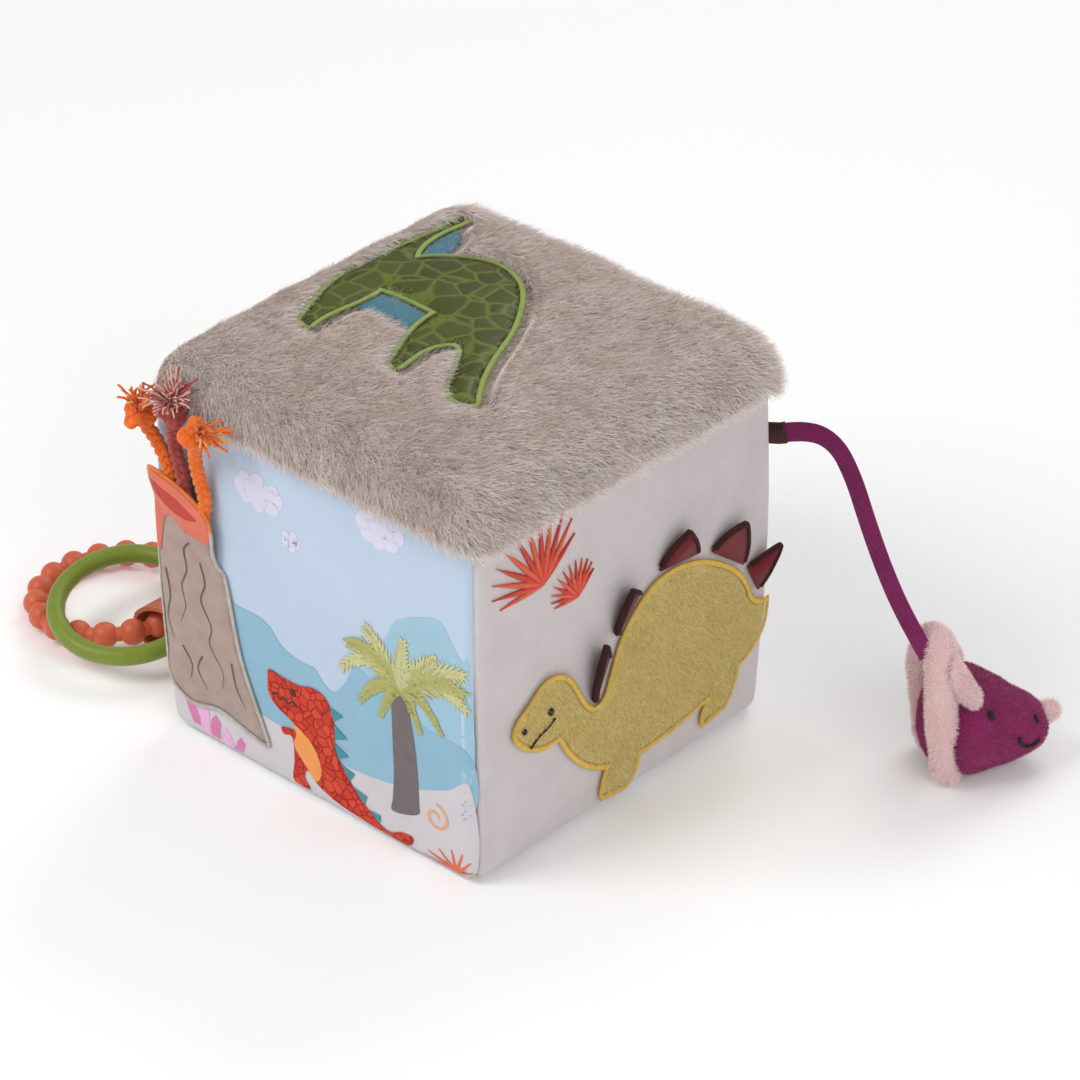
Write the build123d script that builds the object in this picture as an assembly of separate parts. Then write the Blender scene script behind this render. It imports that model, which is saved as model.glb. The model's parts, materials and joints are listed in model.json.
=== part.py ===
from build123d import *
import os
from math import acos, atan2, ceil, cos, degrees, hypot, pi, radians, sin, sqrt, tan

# A soft activity cube for a baby: a foam block in six sewn panels, with applique animals,
# flaps, rope ends, a plush head on a strap and two teething rings on a webbing loop.
# Millimetres. Origin: centre of the base, on the floor. +Z up, -Y is the printed scene,
# +X is the knit face with the yellow animal, -X carries the rings.

# ---- driving dimensions: the block ----
SIDE = 150.0                # overall edge of the finished cube
EDGE_R = 6.0                # rounding of every sewn edge
SKIN = 2.6                  # panel cloth with its backing
PATTERN_SIDE = 150.0        # panel size that the applique patterns are drawn for
ART = SIDE / PATTERN_SIDE   # patterns are enlarged with the panel that they fill
HALF = SIDE / 2

# ---- things inside the block ----
CAPSULE_R = 19.0            # rattle capsule, outside
CAPSULE_WALL = 1.6
CAPSULE_LIP = 2.0           # height of the lip that locates the upper shell
LIP_CLEARANCE = 0.4
BALL_R = 5.0
BALL_CLEARANCE = 0.3
FILM = 0.5                  # crinkle film
FILM_SIZE = (46.0, 78.0)    # width and height of the crinkle film
FILM_INSET = 4.0            # clear of the rounding of the left edge
FILM_UP = 64.0              # height of its centre behind the volcano

# ---- applique ----
PATCH_T = 1.2               # thickness of an applique layer
PILE_T = 2.0                # the yellow animal is short pile cloth
STITCH_W = 2.0              # width of a satin stitch border
STITCH_T = 1.6              # height of a satin stitch border
THREAD_T = 0.7              # height of single-thread embroidery
EYE_R = 1.3
FERN_PETALS = 12

# ---- felt plates ----
PLATE_T = 1.8
PLATE_EDGE = 1.1            # width of the stitched edge
PLATE_GAP = 0.4             # clear of the face and of the body's stitching
PLATE_BULGE = 1.5           # the animal's back bows this far beyond a plate's straight root
# two places on the animal's back (y, z), how far along its root the tip stands as a share,
# the plate's height, and its lift from the face in degrees
PLATES = [
    ((-16.0, 50.6), (-9.4, 66.5), 1.40, 13.0, 26.0),
    ((-6.6, 72.0), (5.0, 84.0), 0.95, 13.0, 23.0),
    ((12.0, 86.8), (31.0, 84.6), 0.50, 13.5, 15.0),
    ((37.0, 82.0), (53.5, 69.0), 0.30, 14.5, 15.0),
    ((55.5, 67.0), (61.6, 55.2), 0.05, 14.5, 18.0),
]

# ---- ropes from the crater ----
ROPE_D = 5.0
KNOT_R = 6.4                # half width of an overhand knot
KNOT_H = 9.6                # its height along the rope
TASSEL_R = 5.6
TASSEL_NECK = 0.45          # tassel radius at the knot, as a share of TASSEL_R
TASSEL_L = 11.0
# route of each rope up to the middle of its knot (x, out from the front face, z), and the
# direction in which its tassel points (x, out, z)
ROPES = {
    "left": ([(-63.0, 3.0, 116.6), (-65.4, 3.8, 121.4), (-67.8, 5.2, 126.8), (-71.0, 9.0, 134.4)],
             (0.20, 0.20, 1.0)),
    "middle": ([(-55.6, 3.0, 115.0), (-57.2, 3.8, 121.0), (-58.6, 4.6, 129.0), (-56.0, 7.4, 141.4)],
               (0.22, 0.30, 0.95)),
    "right": ([(-44.2, 3.0, 110.8), (-46.4, 4.0, 118.0), (-46.6, 6.0, 127.0), (-40.4, 11.8, 140.6)],
              (0.88, 0.20, 0.50)),
}

# ---- strap and plush head ----
STRAP_W = 7.0               # width of the flat strap
STRAP_T = 2.0
STRAP_D = 2 * sqrt(STRAP_W * STRAP_T / pi)      # round tube with the strap's own section area
# out from the +X face, out from the +Y face, and height
STRAP_ROUTE = [
    (2.8, 2.8, 115.6), (10.2, 9.6, 117.3), (20.4, 12.8, 114.2), (29.4, 11.8, 104.2),
    (37.4, 10.0, 90.6), (46.6, 8.0, 77.0), (56.4, 6.2, 65.6), (64.4, 3.9, 58.6),
]
ANCHOR_OUT = 2.2            # the stitched root stands this far out of the seam
HEAD_AT = (71.0, 15.0)      # out from the +X and +Y faces, on the floor below the head's neck
HEAD_TURN = 53.13           # direction that the head faces, from +X
HEAD_SLOPE = -11.0          # its axis drops towards the nose
HEAD_SKIN = 1.2
# distance along the head's axis and radius there, from the neck to the nose
HEAD_FORM = [(-9.5, 0.0), (-8.0, 12.5), (0.0, 18.8), (12.0, 19.4), (25.0, 15.2), (36.0, 11.4),
             (43.5, 7.4), (46.5, 0.0)]
HEAD_R = max(radius for _, radius in HEAD_FORM)
NECK_Z = 21.6               # height of the axis at the neck
FRILL_R = 6.0
FRILL_SIDE = [(-2.5, 11.0, 6.3), (-5.6, 14.4, 20.0), (-7.6, 14.6, 35.5), (-7.0, 10.4, 48.0)]
FRILL_TOP = (-4.6, 0.0, 55.0)
BROW_BASE = (-3.5, 10.5, 47.5)
BROW_TIP = (12.0, 13.8, 38.0)
BROW_R = (5.2, 1.6)         # radius at the base and at the tip
NOSE_BASE = (38.5, 0.0, 17.0)
NOSE_TIP = (48.2, 0.0, 19.6)
NOSE_R = (4.4, 3.2)
# embroidery on each cheek: forwards and up in the head's frame
EYE_AT, EYE_SIZE = (17.0, 24.5), (3.0, 4.6)
NOSTRIL_AT, NOSTRIL_SIZE = (37.6, 17.5), (2.1, 3.9)
SMILE_AT, SMILE_R, SMILE_W = (34.0, 13.6), 4.7, 1.0
MARK_FROM = 8.0             # the marks start this far from the head's middle plane

# ---- rings on their loop ----
LOOP_Y = -44.0
LOOP_W = 10.0
LOOP_T = 1.6
LOOP_Z = 21.3               # height of the loop's sewn root
LOOP_PATCH = (14.0, 9.0, 1.2)
# inside of the loop, measured out from the -X face: it passes over and under both rings
LOOP_HOLE = [(6.2, 21.2), (17.0, 21.0), (29.0, 20.2), (41.0, 16.6), (46.0, 10.2), (42.6, 4.2),
             (33.0, 4.4), (20.0, 8.4)]
BEAD_R = 5.0
BEAD_COUNT = 18
BEAD_RING_R = 29.6
BEAD_NECK_R = 2.7
BEAD_RING_AT = (68.4, -38.5, 7.3)       # centre: out from the -X face, y, z
BEAD_RING_UP = (-0.075, -0.018, 0.997)
GREEN_TUBE_R = 3.5
GREEN_RING_R = 26.5
GREEN_RING_AT = (48.4, -50.6, 17.1)
GREEN_RING_UP = (0.120, -0.181, 0.976)

TOP = Plane((0, 0, SIDE), x_dir=(1, 0, 0), z_dir=(0, 0, 1))
FRONT = Plane((0, -HALF, 0), x_dir=(1, 0, 0), z_dir=(0, -1, 0))
RIGHT = Plane((HALF, 0, 0), x_dir=(0, 1, 0), z_dir=(1, 0, 0))
LEFT = Plane((-HALF, 0, 0), x_dir=(0, -1, 0), z_dir=(-1, 0, 0))
BACK = Plane((0, HALF, 0), x_dir=(-1, 0, 0), z_dir=(0, 1, 0))
BASE = Plane((0, 0, 0), x_dir=(1, 0, 0), z_dir=(0, 0, -1))

# ---- applique patterns: strokes that join end to end, two points for a line ----
LONG_NECK = [
    [(-48, -32), (-40, -34)],
    [(-40, -34), (-42, -24), (-41, -12), (-41, 2)],
    [(-41, 2), (-29, 2.6), (-16, 2)],
    [(-16, 2), (-14, -10), (-9, -22), (-4, -33)],
    [(-4, -33), (1.5, -35)],
    [(1.5, -35), (0.5, -24), (1, -14), (5, -9), (11, -14), (18, -26), (25, -34)],
    [(25, -34), (31, -35.5), (37, -32)],
    [(37, -32), (28, -20), (20, -5), (13, 11), (4, 25), (-8, 37.5), (-22, 43), (-38, 38.5), (-49, 29)],
    [(-49, 29), (-54, 38), (-56, 50), (-56.5, 68)],
    [(-56.5, 68), (-60, 70), (-64.5, 65), (-65, 59.5)],
    [(-65, 59.5), (-61, 56.5)],
    [(-61, 56.5), (-60, 42), (-61, 28), (-62, 14), (-59.5, -4), (-54, -19), (-48, -32)],
]
NECK_SATIN = [
    [(-58, -6), (-64.5, 3), (-67, 14), (-65.5, 30), (-66, 46), (-64.5, 57)],
    [(-64.5, 57), (-58, 56), (-58, -6)],
]
BELLY_SATIN = [
    [(-43, 3), (-14, 3)],
    [(-14, 3), (-11.5, -11.5)],
    [(-11.5, -11.5), (-42, -11)],
    [(-42, -11), (-43, 3)],
]
VOLCANO = [
    [(-72.5, 107), (-73.4, 92), (-73.4, 60), (-72.4, 34)],
    [(-72.4, 34), (-69.5, 19.5), (-60, 15.5), (-48, 18.5), (-36, 16.6), (-22, 14)],
    [(-22, 14), (-27, 30), (-33, 50), (-36, 67), (-38.6, 80)],
    [(-38.6, 80), (-42, 82.5)],
    [(-42, 82.5), (-42, 98), (-44, 104), (-51, 109), (-62, 112), (-70, 111.5), (-72.5, 107)],
]
LAVA_LINE = 97.0            # the border is orange above this height and silver below
SPIKE_BACK = [
    [(-58.5, 57), (-57.6, 62), (-51, 67.5), (-44, 72.8), (-37, 72), (-30, 65), (-24.5, 54.5), (-20, 49.6)],
    [(-20, 49.6), (-16, 50.4), (-13, 56), (-10, 65), (-6, 73), (1, 81), (9, 86), (19, 87.5),
     (32, 84.4), (45, 77), (55, 67.5), (60.5, 57)],
    [(60.5, 57), (65, 51.8), (72, 50)],
    [(72, 50), (71.5, 42), (67, 34), (57, 28)],
    [(57, 28), (55.5, 20), (52, 13)],
    [(52, 13), (39, 10.5)],
    [(39, 10.5), (38.4, 16), (41, 22)],
    [(41, 22), (27, 19), (5, 17)],
    [(5, 17), (3.4, 9), (0, 5)],
    [(0, 5), (-14, 7)],
    [(-14, 7), (-13.6, 14), (-11.5, 20)],
    [(-11.5, 20), (-21, 25), (-30, 34), (-37, 46)],
    [(-37, 46), (-45, 46), (-53, 50), (-58.5, 57)],
]
STEGO_EYE = (-42.6, 61.0)
STEGO_NOSTRIL = (-54.6, 58.6)
STEGO_MOUTH = [(-52.0, 50.6), (-48.0, 53.6), (-44.2, 55.0), (-40.4, 57.4)]
# root (y, z), the directions of the outermost petals, and the petal lengths there and between
FERNS = {
    "fern_large": ((-43.5, 111.5), 182.0, 40.0, 20.0, 28.0),
    "fern_small": ((-27.5, 99.0), 178.0, 44.0, 11.0, 15.0),
}
PETAL_W = 2.6
CHORD = 2.0                 # curved outlines are cut into chords of about this length
MITRE_LIMIT = 0.5           # keeps sharp corners of a widened outline short
KEPT = 0.999                # a moved point nearer to its outline than this share is dropped


def stroke_points(stroke, scale):
    """The start of a line, or points along a smooth curve, without the last one."""
    points = [Vector(x * scale, y * scale) for x, y in stroke]
    if len(points) == 2:
        return points[:1]
    curve = Edge.make_spline(points)
    pieces = ceil(curve.length / CHORD)
    return [curve.position_at(i / pieces) for i in range(pieces)]


def pattern(strokes, scale=ART):
    """The closed outline that a row of strokes makes, anticlockwise."""
    points = [p for stroke in strokes for p in stroke_points(stroke, scale)]
    turns = sum(a.X * b.Y - b.X * a.Y for a, b in zip(points, points[1:] + points[:1]))
    return points if turns > 0 else points[::-1]


def grown(points, amount):
    """The same outline, wider by amount all round, or narrower."""
    outline = Wire.make_polygon(points)
    moved = []
    for before, here, after in zip(points[-1:] + points[:-1], points, points[1:] + points[:1]):
        come, go = (here - before).normalized(), (after - here).normalized()
        turn = come.X * go.Y - come.Y * go.X
        spread = 1 + come.dot(go)
        if turn * amount > 0:
            spread = max(MITRE_LIMIT, spread)
        moved.append(here + Vector(come.Y + go.Y, -come.X - go.X) / spread * amount)
    return [place for place in moved if outline.distance_to(Vertex(place)) > KEPT * abs(amount)]


def layer(plane, shape, thickness, lift=0.0):
    """A flat layer on one face of the cube, standing out along the plane's normal."""
    face = Face(Wire.make_polygon(shape)) if isinstance(shape, list) else shape
    return extrude(Pos(0, 0, lift) * face, thickness).moved(plane.location)


def border(plane, points, width, thickness):
    """A stitched band that lies half inside and half outside an outline."""
    outer, inner = grown(points, width / 2), grown(points, -width / 2)
    return layer(plane, outer, thickness) - layer(plane, inner, thickness)


def bend_radii(route):
    """Each corner's radius: 0.45 of the shorter run over the tangent of half the turn."""
    radii = []
    for before, here, after in zip(route, route[1:], route[2:]):
        run_in = Vector(*here) - Vector(*before)
        run_out = Vector(*after) - Vector(*here)
        half_turn = radians(run_in.get_angle(run_out)) / 2
        radii.append(0.45 * min(run_in.length, run_out.length) / tan(half_turn))
    return radii


def tube(name, route, radius):
    """A round tube along straight runs that tangent arcs join, with its radii printed."""
    radii = bend_radii(route)
    path = FilletPolyline(*route, radius=radii)
    section = Plane(path @ 0, z_dir=path % 0) * Circle(radius)
    solid = sweep(section, path=path)
    print(name, "radii", [round(r, 1) for r in radii], "length", round(path.length, 1),
          "volume over section x length", round(solid.volume / (pi * radius ** 2 * path.length), 3))
    return solid


def cone_between(start, end, radii):
    """A cone with a rounded tip from start to end."""
    run = Vector(*end) - Vector(*start)
    body = Plane(start, z_dir=run) * Cone(*radii, run.length, align=(Align.CENTER, Align.CENTER, Align.MIN))
    return body + Pos(*end) * Sphere(radii[1])


# ---- the block ----
def rounded_cube(inset):
    """The cube's rounded outside, or the same shape moved in by inset."""
    size = SIDE - 2 * inset
    block = Pos(0, 0, HALF) * Box(size, size, size)
    return fillet(block.edges(), EDGE_R - inset)


def block_panels():
    """Six panels that meet on the mitres of the cube's edges, and the foam core inside."""
    outside, inside = rounded_cube(0), rounded_cube(SKIN)
    shell = outside - inside
    panels = {}
    planes = {"top_fur_panel": TOP, "front_print_panel": FRONT, "right_knit_panel": RIGHT,
              "back_knit_panel": BACK, "left_print_panel": LEFT, "base_panel": BASE}
    for name, plane in planes.items():
        deep, out = HALF / 2, EDGE_R
        wedge = loft([Pos(0, 0, -deep) * Rectangle(SIDE - 2 * deep, SIDE - 2 * deep),
                      Pos(0, 0, out) * Rectangle(SIDE + 2 * out, SIDE + 2 * out)], ruled=True)
        centred = plane.location * Pos(0, 0 if plane in (TOP, BASE) else HALF, 0)
        panels[name] = shell & wedge.moved(centred)
    return panels, inside


def rattle():
    """Two capsule shells, located by a lip, with a ball at the bottom."""
    inner_r = CAPSULE_R - CAPSULE_WALL
    hollow = Sphere(CAPSULE_R) - Sphere(inner_r)
    above = Pos(0, 0, CAPSULE_R) * Box(3 * CAPSULE_R, 3 * CAPSULE_R, 2 * CAPSULE_R)
    lip_r = inner_r - LIP_CLEARANCE
    lip = Cylinder(lip_r, 2 * CAPSULE_R) - Cylinder(lip_r - CAPSULE_WALL, 2 * CAPSULE_R)
    lip = lip & (Pos(0, 0, -CAPSULE_R + CAPSULE_LIP) * Box(3 * CAPSULE_R, 3 * CAPSULE_R, 2 * CAPSULE_R))
    lower = (hollow - above) + (lip & Sphere(inner_r + LIP_CLEARANCE))
    upper = (hollow & above) - lower
    centre = Pos(0, 0, HALF)
    ball_drop = inner_r - BALL_R - BALL_CLEARANCE
    return {"rattle_shell_upper": centre * upper, "rattle_shell_lower": centre * lower,
            "rattle_ball": Pos(0, 0, HALF - ball_drop) * Sphere(BALL_R)}


def block():
    """Panels, foam core, rattle capsule and crinkle film."""
    parts, inside = block_panels()
    film_plane = Plane((0, -HALF + SKIN, 0), x_dir=(1, 0, 0), z_dir=(0, -1, 0))
    film_x = FILM_SIZE[0] / 2 + FILM_INSET - (HALF - EDGE_R)
    film = layer(film_plane, Pos(film_x, FILM_UP * ART) * Rectangle(*FILM_SIZE), FILM, -FILM)
    capsule_room = Pos(0, 0, HALF) * Sphere(CAPSULE_R)
    parts["crinkle_film"] = film
    parts["foam_core"] = inside - capsule_room - film
    parts.update(rattle())
    return parts


# ---- flat applique ----
def long_neck():
    """Green embossed animal on the fur face, with teal satin behind its neck and belly."""
    body = pattern(LONG_NECK)
    stitches = border(TOP, body, STITCH_W, STITCH_T)
    leather = layer(TOP, grown(body, -STITCH_W / 2), PATCH_T)
    satin = layer(TOP, pattern(NECK_SATIN), PATCH_T) + layer(TOP, pattern(BELLY_SATIN), PATCH_T)
    satin = satin - layer(TOP, grown(body, STITCH_W / 2), STITCH_T)
    return {"top_dino_body": leather, "top_dino_satin": satin, "top_dino_stitching": stitches}


def volcano():
    """Printed volcano patch with an orange border round the crater and a silver one below."""
    face = pattern(VOLCANO)
    band = border(FRONT, face, STITCH_W, STITCH_T)
    patch = layer(FRONT, grown(face, -STITCH_W / 2), PATCH_T)
    above = Pos(0, -HALF, LAVA_LINE * ART + SIDE) * Box(2 * SIDE, SIDE, 2 * SIDE)
    return {"volcano_patch": patch, "volcano_stitching_orange": band & above,
            "volcano_stitching_silver": band - above}


def thread_line(points, width):
    """The flat outline of an embroidered line with round ends."""
    path = Polyline(*[(x * ART, y * ART) for x, y in points])
    strokes = [Pos(*(path @ t)) * Circle(width / 2) for t in (0, 1)]
    for a, b in zip(path.vertices(), path.vertices()[1:]):
        run = Vector(b) - Vector(a)
        middle = (Vector(a) + Vector(b)) / 2
        turn = degrees(atan2(run.Y, run.X))
        strokes.append(Pos(middle.X, middle.Y) * Rot(0, 0, turn) * Rectangle(run.length, width))
        strokes.append(Pos(b.X, b.Y) * Circle(width / 2))
    shape = strokes[0]
    for stroke in strokes[1:]:
        shape = shape + stroke
    return shape


def spike_back():
    """Yellow pile animal on the knit face, with its border and its embroidered face."""
    face = pattern(SPIKE_BACK)
    band = border(RIGHT, face, STITCH_W, STITCH_T)
    body = layer(RIGHT, grown(face, -STITCH_W / 2), PILE_T)
    eye = layer(RIGHT, Pos(STEGO_EYE[0] * ART, STEGO_EYE[1] * ART) * Circle(EYE_R), THREAD_T, PILE_T)
    nostril = layer(RIGHT, Pos(STEGO_NOSTRIL[0] * ART, STEGO_NOSTRIL[1] * ART) * Circle(EYE_R * 0.8),
                    THREAD_T, PILE_T)
    mouth = layer(RIGHT, thread_line(STEGO_MOUTH, 1.0), THREAD_T, PILE_T)
    return {"stego_body": body, "stego_stitching": band,
            "stego_face_embroidery": Compound(children=[*eye.solids(), *nostril.solids(), *mouth.solids()])}


def fern(root, first, last, short, tall):
    """A fan of pointed petals from one root; the middle petals are the longest."""
    fan = None
    for i in range(FERN_PETALS):
        share = i / (FERN_PETALS - 1)
        turn = first + (last - first) * share
        length = (short + (tall - short) * sin(pi * share) ** 0.6) * ART
        petal = pattern([[(0, 0), (length * 0.65, PETAL_W / 2), (length, 0)],
                         [(length, 0), (length * 0.65, -PETAL_W / 2), (0, 0)]], 1)
        petal = Pos(root[0] * ART, root[1] * ART) * Rot(0, 0, turn) * Face(Wire.make_polygon(petal))
        fan = petal if fan is None else fan + petal
    return layer(RIGHT, fan, THREAD_T)


# ---- felt plates that lift from the animal's back ----
def plate_frame(low, high):
    """The plane of a plate while it lies on the face: x along its sewn edge, y outwards."""
    along = (Vector(0, *high) - Vector(0, *low)).normalized()
    outwards = Vector(1, 0, 0).cross(along)
    room = STITCH_W / 2 + PLATE_BULGE * ART + PLATE_T / 2 + PLATE_GAP
    height = PLATE_T / 2 + PLATE_GAP
    origin = Vector(HALF + height, low[0] * ART, low[1] * ART) + outwards * room
    return Plane(origin, x_dir=along, z_dir=(1, 0, 0))


def felt_plate(low, high, tip, tall, lift):
    """One leaf-shaped felt plate and its stitched edge, lifted about its sewn edge."""
    root = hypot(high[0] - low[0], high[1] - low[1])
    leaf = [[(0, 0), (root * tip * 0.36 - 0.8, tall * 0.58), (root * tip, tall)],
            [(root * tip, tall), (root * (0.50 + 0.48 * tip), tall * 0.66), (root, 0)],
            [(root, 0), (0, 0)]]
    outline = pattern(leaf)
    raised = Plane(plate_frame(low, high).location * Rot(lift, 0, 0))
    inner = layer(raised, grown(outline, -PLATE_EDGE), PLATE_T, -PLATE_T / 2)
    edge = layer(raised, outline, PLATE_T, -PLATE_T / 2) - inner
    return inner, edge


# ---- ropes, knots and tassels ----
def rope(name, path, tassel_way):
    """A short rope that ends in an overhand knot with a frayed tassel."""
    route = [(x * ART, -HALF - out, z * ART) for x, out, z in path]
    knot_way = Vector(*route[-1]) - Vector(*route[-2])
    knot_plane = Plane(route[-1], z_dir=knot_way)
    drum = Cylinder(KNOT_R, KNOT_H)
    knot = knot_plane.location * fillet(drum.edges().filter_by(GeomType.CIRCLE), KNOT_H * 0.4)
    x, out, z = tassel_way
    way = Vector(x, -out, z).normalized()
    foot = Vector(*route[-1]) + way * KNOT_R * 0.6
    tassel = Plane(foot, z_dir=way).location * Cone(
        TASSEL_R * TASSEL_NECK, TASSEL_R, TASSEL_L, align=(Align.CENTER, Align.CENTER, Align.MIN))
    rope_solid = tube("rope_" + name, route, ROPE_D / 2) + Pos(*route[0]) * Sphere(ROPE_D / 2) - knot
    return {"rope_" + name: rope_solid, "rope_knot_" + name: knot, "rope_tassel_" + name: tassel - knot}


# ---- strap and plush head ----
def strap():
    """The strap's tube with a rounded root, and the stitched root that holds it in the seam."""
    ball = STRAP_D / 2
    route = [(HALF + x, HALF + y, z) for x, y, z in STRAP_ROUTE]
    cord = tube("head_strap", route, ball)
    ends = Pos(*route[0]) * Sphere(ball) + Pos(*route[-1]) * Sphere(ball)
    corner = HALF * sqrt(2) - EDGE_R * (sqrt(2) - 1)
    tab_l = EDGE_R + ANCHOR_OUT
    tab = Rot(0, 0, 45) * Pos(corner + ANCHOR_OUT - tab_l / 2, 0, route[0][2]) * Box(
        tab_l, STRAP_T, STRAP_W)
    return {"head_strap": cord + ends, "strap_anchor": tab - rounded_cube(0)}


def head_place():
    """From the head's own frame (forwards, to its right, up) to the object's frame."""
    return Pos(HALF + HEAD_AT[0], HALF + HEAD_AT[1], 0) * Rot(0, 0, HEAD_TURN)


def head_form(grow):
    """The stuffed head as a form of revolution about its sloping axis."""
    last = len(HEAD_FORM) - 1
    profile = [(a + (-grow if i == 0 else grow if i == last else 0), 0 if i in (0, last) else r + grow)
               for i, (a, r) in enumerate(HEAD_FORM)]
    face = Face(Wire([Edge.make_spline([Vector(a, 0, r) for a, r in profile]),
                      Edge.make_line(Vector(profile[-1][0], 0, 0), Vector(profile[0][0], 0, 0))]))
    form = revolve(face, Axis((0, 0, 0), (1, 0, 0)), 360)
    return Pos(0, 0, NECK_Z) * Rot(0, -HEAD_SLOPE, 0) * form


def mirrored(points):
    """Places in the head's frame with the sides changed over."""
    return [(a, -s, z) for a, s, z in points]


def local(point):
    """Forwards, to the camera side and up, as the head frame's x, y and z."""
    a, s, z = point
    return (a, -s, z)


def head_face(form):
    """Embroidered eyes, nostrils and smile on both cheeks, laid on the skin."""
    proud = head_form(THREAD_T) - form
    upright = Rot(90, 0, 0)
    smile = Circle(SMILE_R + SMILE_W / 2) - Circle(SMILE_R - SMILE_W / 2)
    smile = smile & Pos(0, -SMILE_R / 2 - SMILE_W) * Rectangle(3 * SMILE_R, SMILE_R)
    shapes = [(EYE_AT, Ellipse(EYE_SIZE[0] / 2, EYE_SIZE[1] / 2)),
              (NOSTRIL_AT, Ellipse(NOSTRIL_SIZE[0] / 2, NOSTRIL_SIZE[1] / 2)), (SMILE_AT, smile)]
    marks = []
    for (forwards, up), shape in shapes:
        for side in (1, -1):
            reach = extrude(upright * shape, HEAD_R - MARK_FROM + THREAD_T, dir=(0, side, 0))
            mark = Pos(forwards, side * MARK_FROM, up) * reach
            marks += (proud & mark).solids()
    return Compound(children=marks)


def head():
    """Skin, filling, frill, three horns and the embroidered face."""
    outside, inside = head_form(0), head_form(-HEAD_SKIN)
    side = [local(p) for p in FRILL_SIDE]
    route = side + [local(FRILL_TOP)] + mirrored(side)[::-1]
    lobes = Pos(*route[0]) * Sphere(FRILL_R) + Pos(*route[-1]) * Sphere(FRILL_R)
    frill = tube("head_frill", route, FRILL_R) + lobes - outside
    parts = {"head_skin": outside - inside, "head_filling": inside, "head_frill": frill}
    brow = [local(BROW_BASE), local(BROW_TIP)]
    for name, (base, tip) in (("brow_horn_near", brow), ("brow_horn_far", mirrored(brow))):
        parts[name] = cone_between(base, tip, BROW_R) - outside - frill
    parts["nose_horn"] = cone_between(NOSE_BASE, NOSE_TIP, NOSE_R) - outside
    parts["head_face_embroidery"] = head_face(outside)
    return {name: head_place() * solid for name, solid in parts.items()}


# ---- rings ----
def ring_plane(at, up):
    """A ring's plane, with its x axis towards the loop."""
    centre = Vector(-HALF - at[0], at[1], at[2])
    normal = Vector(*up).normalized()
    towards = Vector(-HALF, LOOP_Y, at[2]) - centre
    return Plane(centre, x_dir=(towards - normal * normal.dot(towards)).normalized(), z_dir=normal)


def loop_crossing(plane, ring_r):
    """Where a ring passes through the loop, its direction there, and the turn from its x axis."""
    ahead, aside = plane.x_dir.Y, plane.y_dir.Y
    reach = (LOOP_Y - plane.origin.Y) / (ring_r * hypot(ahead, aside))
    turns = [atan2(aside, ahead) + side * acos(reach) for side in (1, -1)]
    turn = min(turns, key=abs)
    place = plane.origin + (plane.x_dir * cos(turn) + plane.y_dir * sin(turn)) * ring_r
    return place, plane.y_dir * cos(turn) - plane.x_dir * sin(turn), degrees(turn)


def rings():
    """The webbing loop, the plain green ring and the beaded ring, threaded together."""
    curve = Edge.make_spline([Vector(-out - HALF, z) for out, z in LOOP_HOLE], periodic=True)
    pieces = ceil(curve.length / CHORD)
    hole = [curve.position_at(i / pieces) for i in range(pieces)]
    turns = sum(a.X * b.Y - b.X * a.Y for a, b in zip(hole, hole[1:] + hole[:1]))
    hole = hole if turns > 0 else hole[::-1]
    side_plane = Plane((0, LOOP_Y + LOOP_W / 2, 0), x_dir=(1, 0, 0), z_dir=(0, -1, 0))
    loop = layer(side_plane, grown(hole, LOOP_T), LOOP_W) - layer(side_plane, hole, LOOP_W)
    patch = layer(LEFT, Pos(-LOOP_Y, LOOP_Z) * Rectangle(LOOP_PATCH[0], LOOP_PATCH[1]), LOOP_PATCH[2])
    green_plane = ring_plane(GREEN_RING_AT, GREEN_RING_UP)
    bead_plane = ring_plane(BEAD_RING_AT, BEAD_RING_UP)
    threaded = {"green_ring": (green_plane, GREEN_RING_R), "bead_ring": (bead_plane, BEAD_RING_R)}
    for name, (plane, ring_r) in threaded.items():
        place, along, phase = loop_crossing(plane, ring_r)
        print(name, "turns about", [round(v, 3) for v in place], [round(v, 4) for v in along])
    beads = Torus(BEAD_RING_R, BEAD_NECK_R)
    for i in range(BEAD_COUNT):
        beads = beads + Rot(0, 0, phase + 360 / BEAD_COUNT * i) * Pos(BEAD_RING_R, 0, 0) * Sphere(BEAD_R)
    green = Torus(GREEN_RING_R, GREEN_TUBE_R)
    return {"ring_loop": loop, "loop_patch": patch, "green_ring": green_plane.location * green,
            "bead_ring": bead_plane.location * beads}


def build():
    parts = block()
    parts.update(long_neck())
    parts.update(volcano())
    parts.update(spike_back())
    for name, (root, first, last, short, tall) in FERNS.items():
        parts[name] = fern(root, first, last, short, tall)
    for number, plate in enumerate(PLATES, 1):
        felt, edge = felt_plate(*plate)
        parts[f"plate_{number}"] = felt
        parts[f"plate_{number}_stitching"] = edge
        frame = plate_frame(*plate[:2])
        print(f"plate_{number} turns about", [round(v, 3) for v in frame.origin],
              [round(v, 4) for v in frame.x_dir])
    for name, (route, tassel_way) in ROPES.items():
        parts.update(rope(name, route, tassel_way))
    parts.update(strap())
    parts.update(head())
    parts.update(rings())
    return parts


if __name__ == "__main__":
    os.makedirs("parts", exist_ok=True)
    for node, shape in build().items():
        solids = shape.solids()
        export_step(Compound(children=list(solids)) if len(solids) > 1 else solids[0], f"parts/{node}.step")
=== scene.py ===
# %% [markdown]
# # A soft activity cube
# The real toy is a foam block in six sewn panels. One panel is shaggy fur, one is printed
# cotton, one is fine knit. Animals, a volcano and ferns are sewn onto them, felt plates and
# rope ends stand off them, and a plush head and two silicone rings hang on cloth.
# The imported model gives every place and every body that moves. This file gives the looks.

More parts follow.
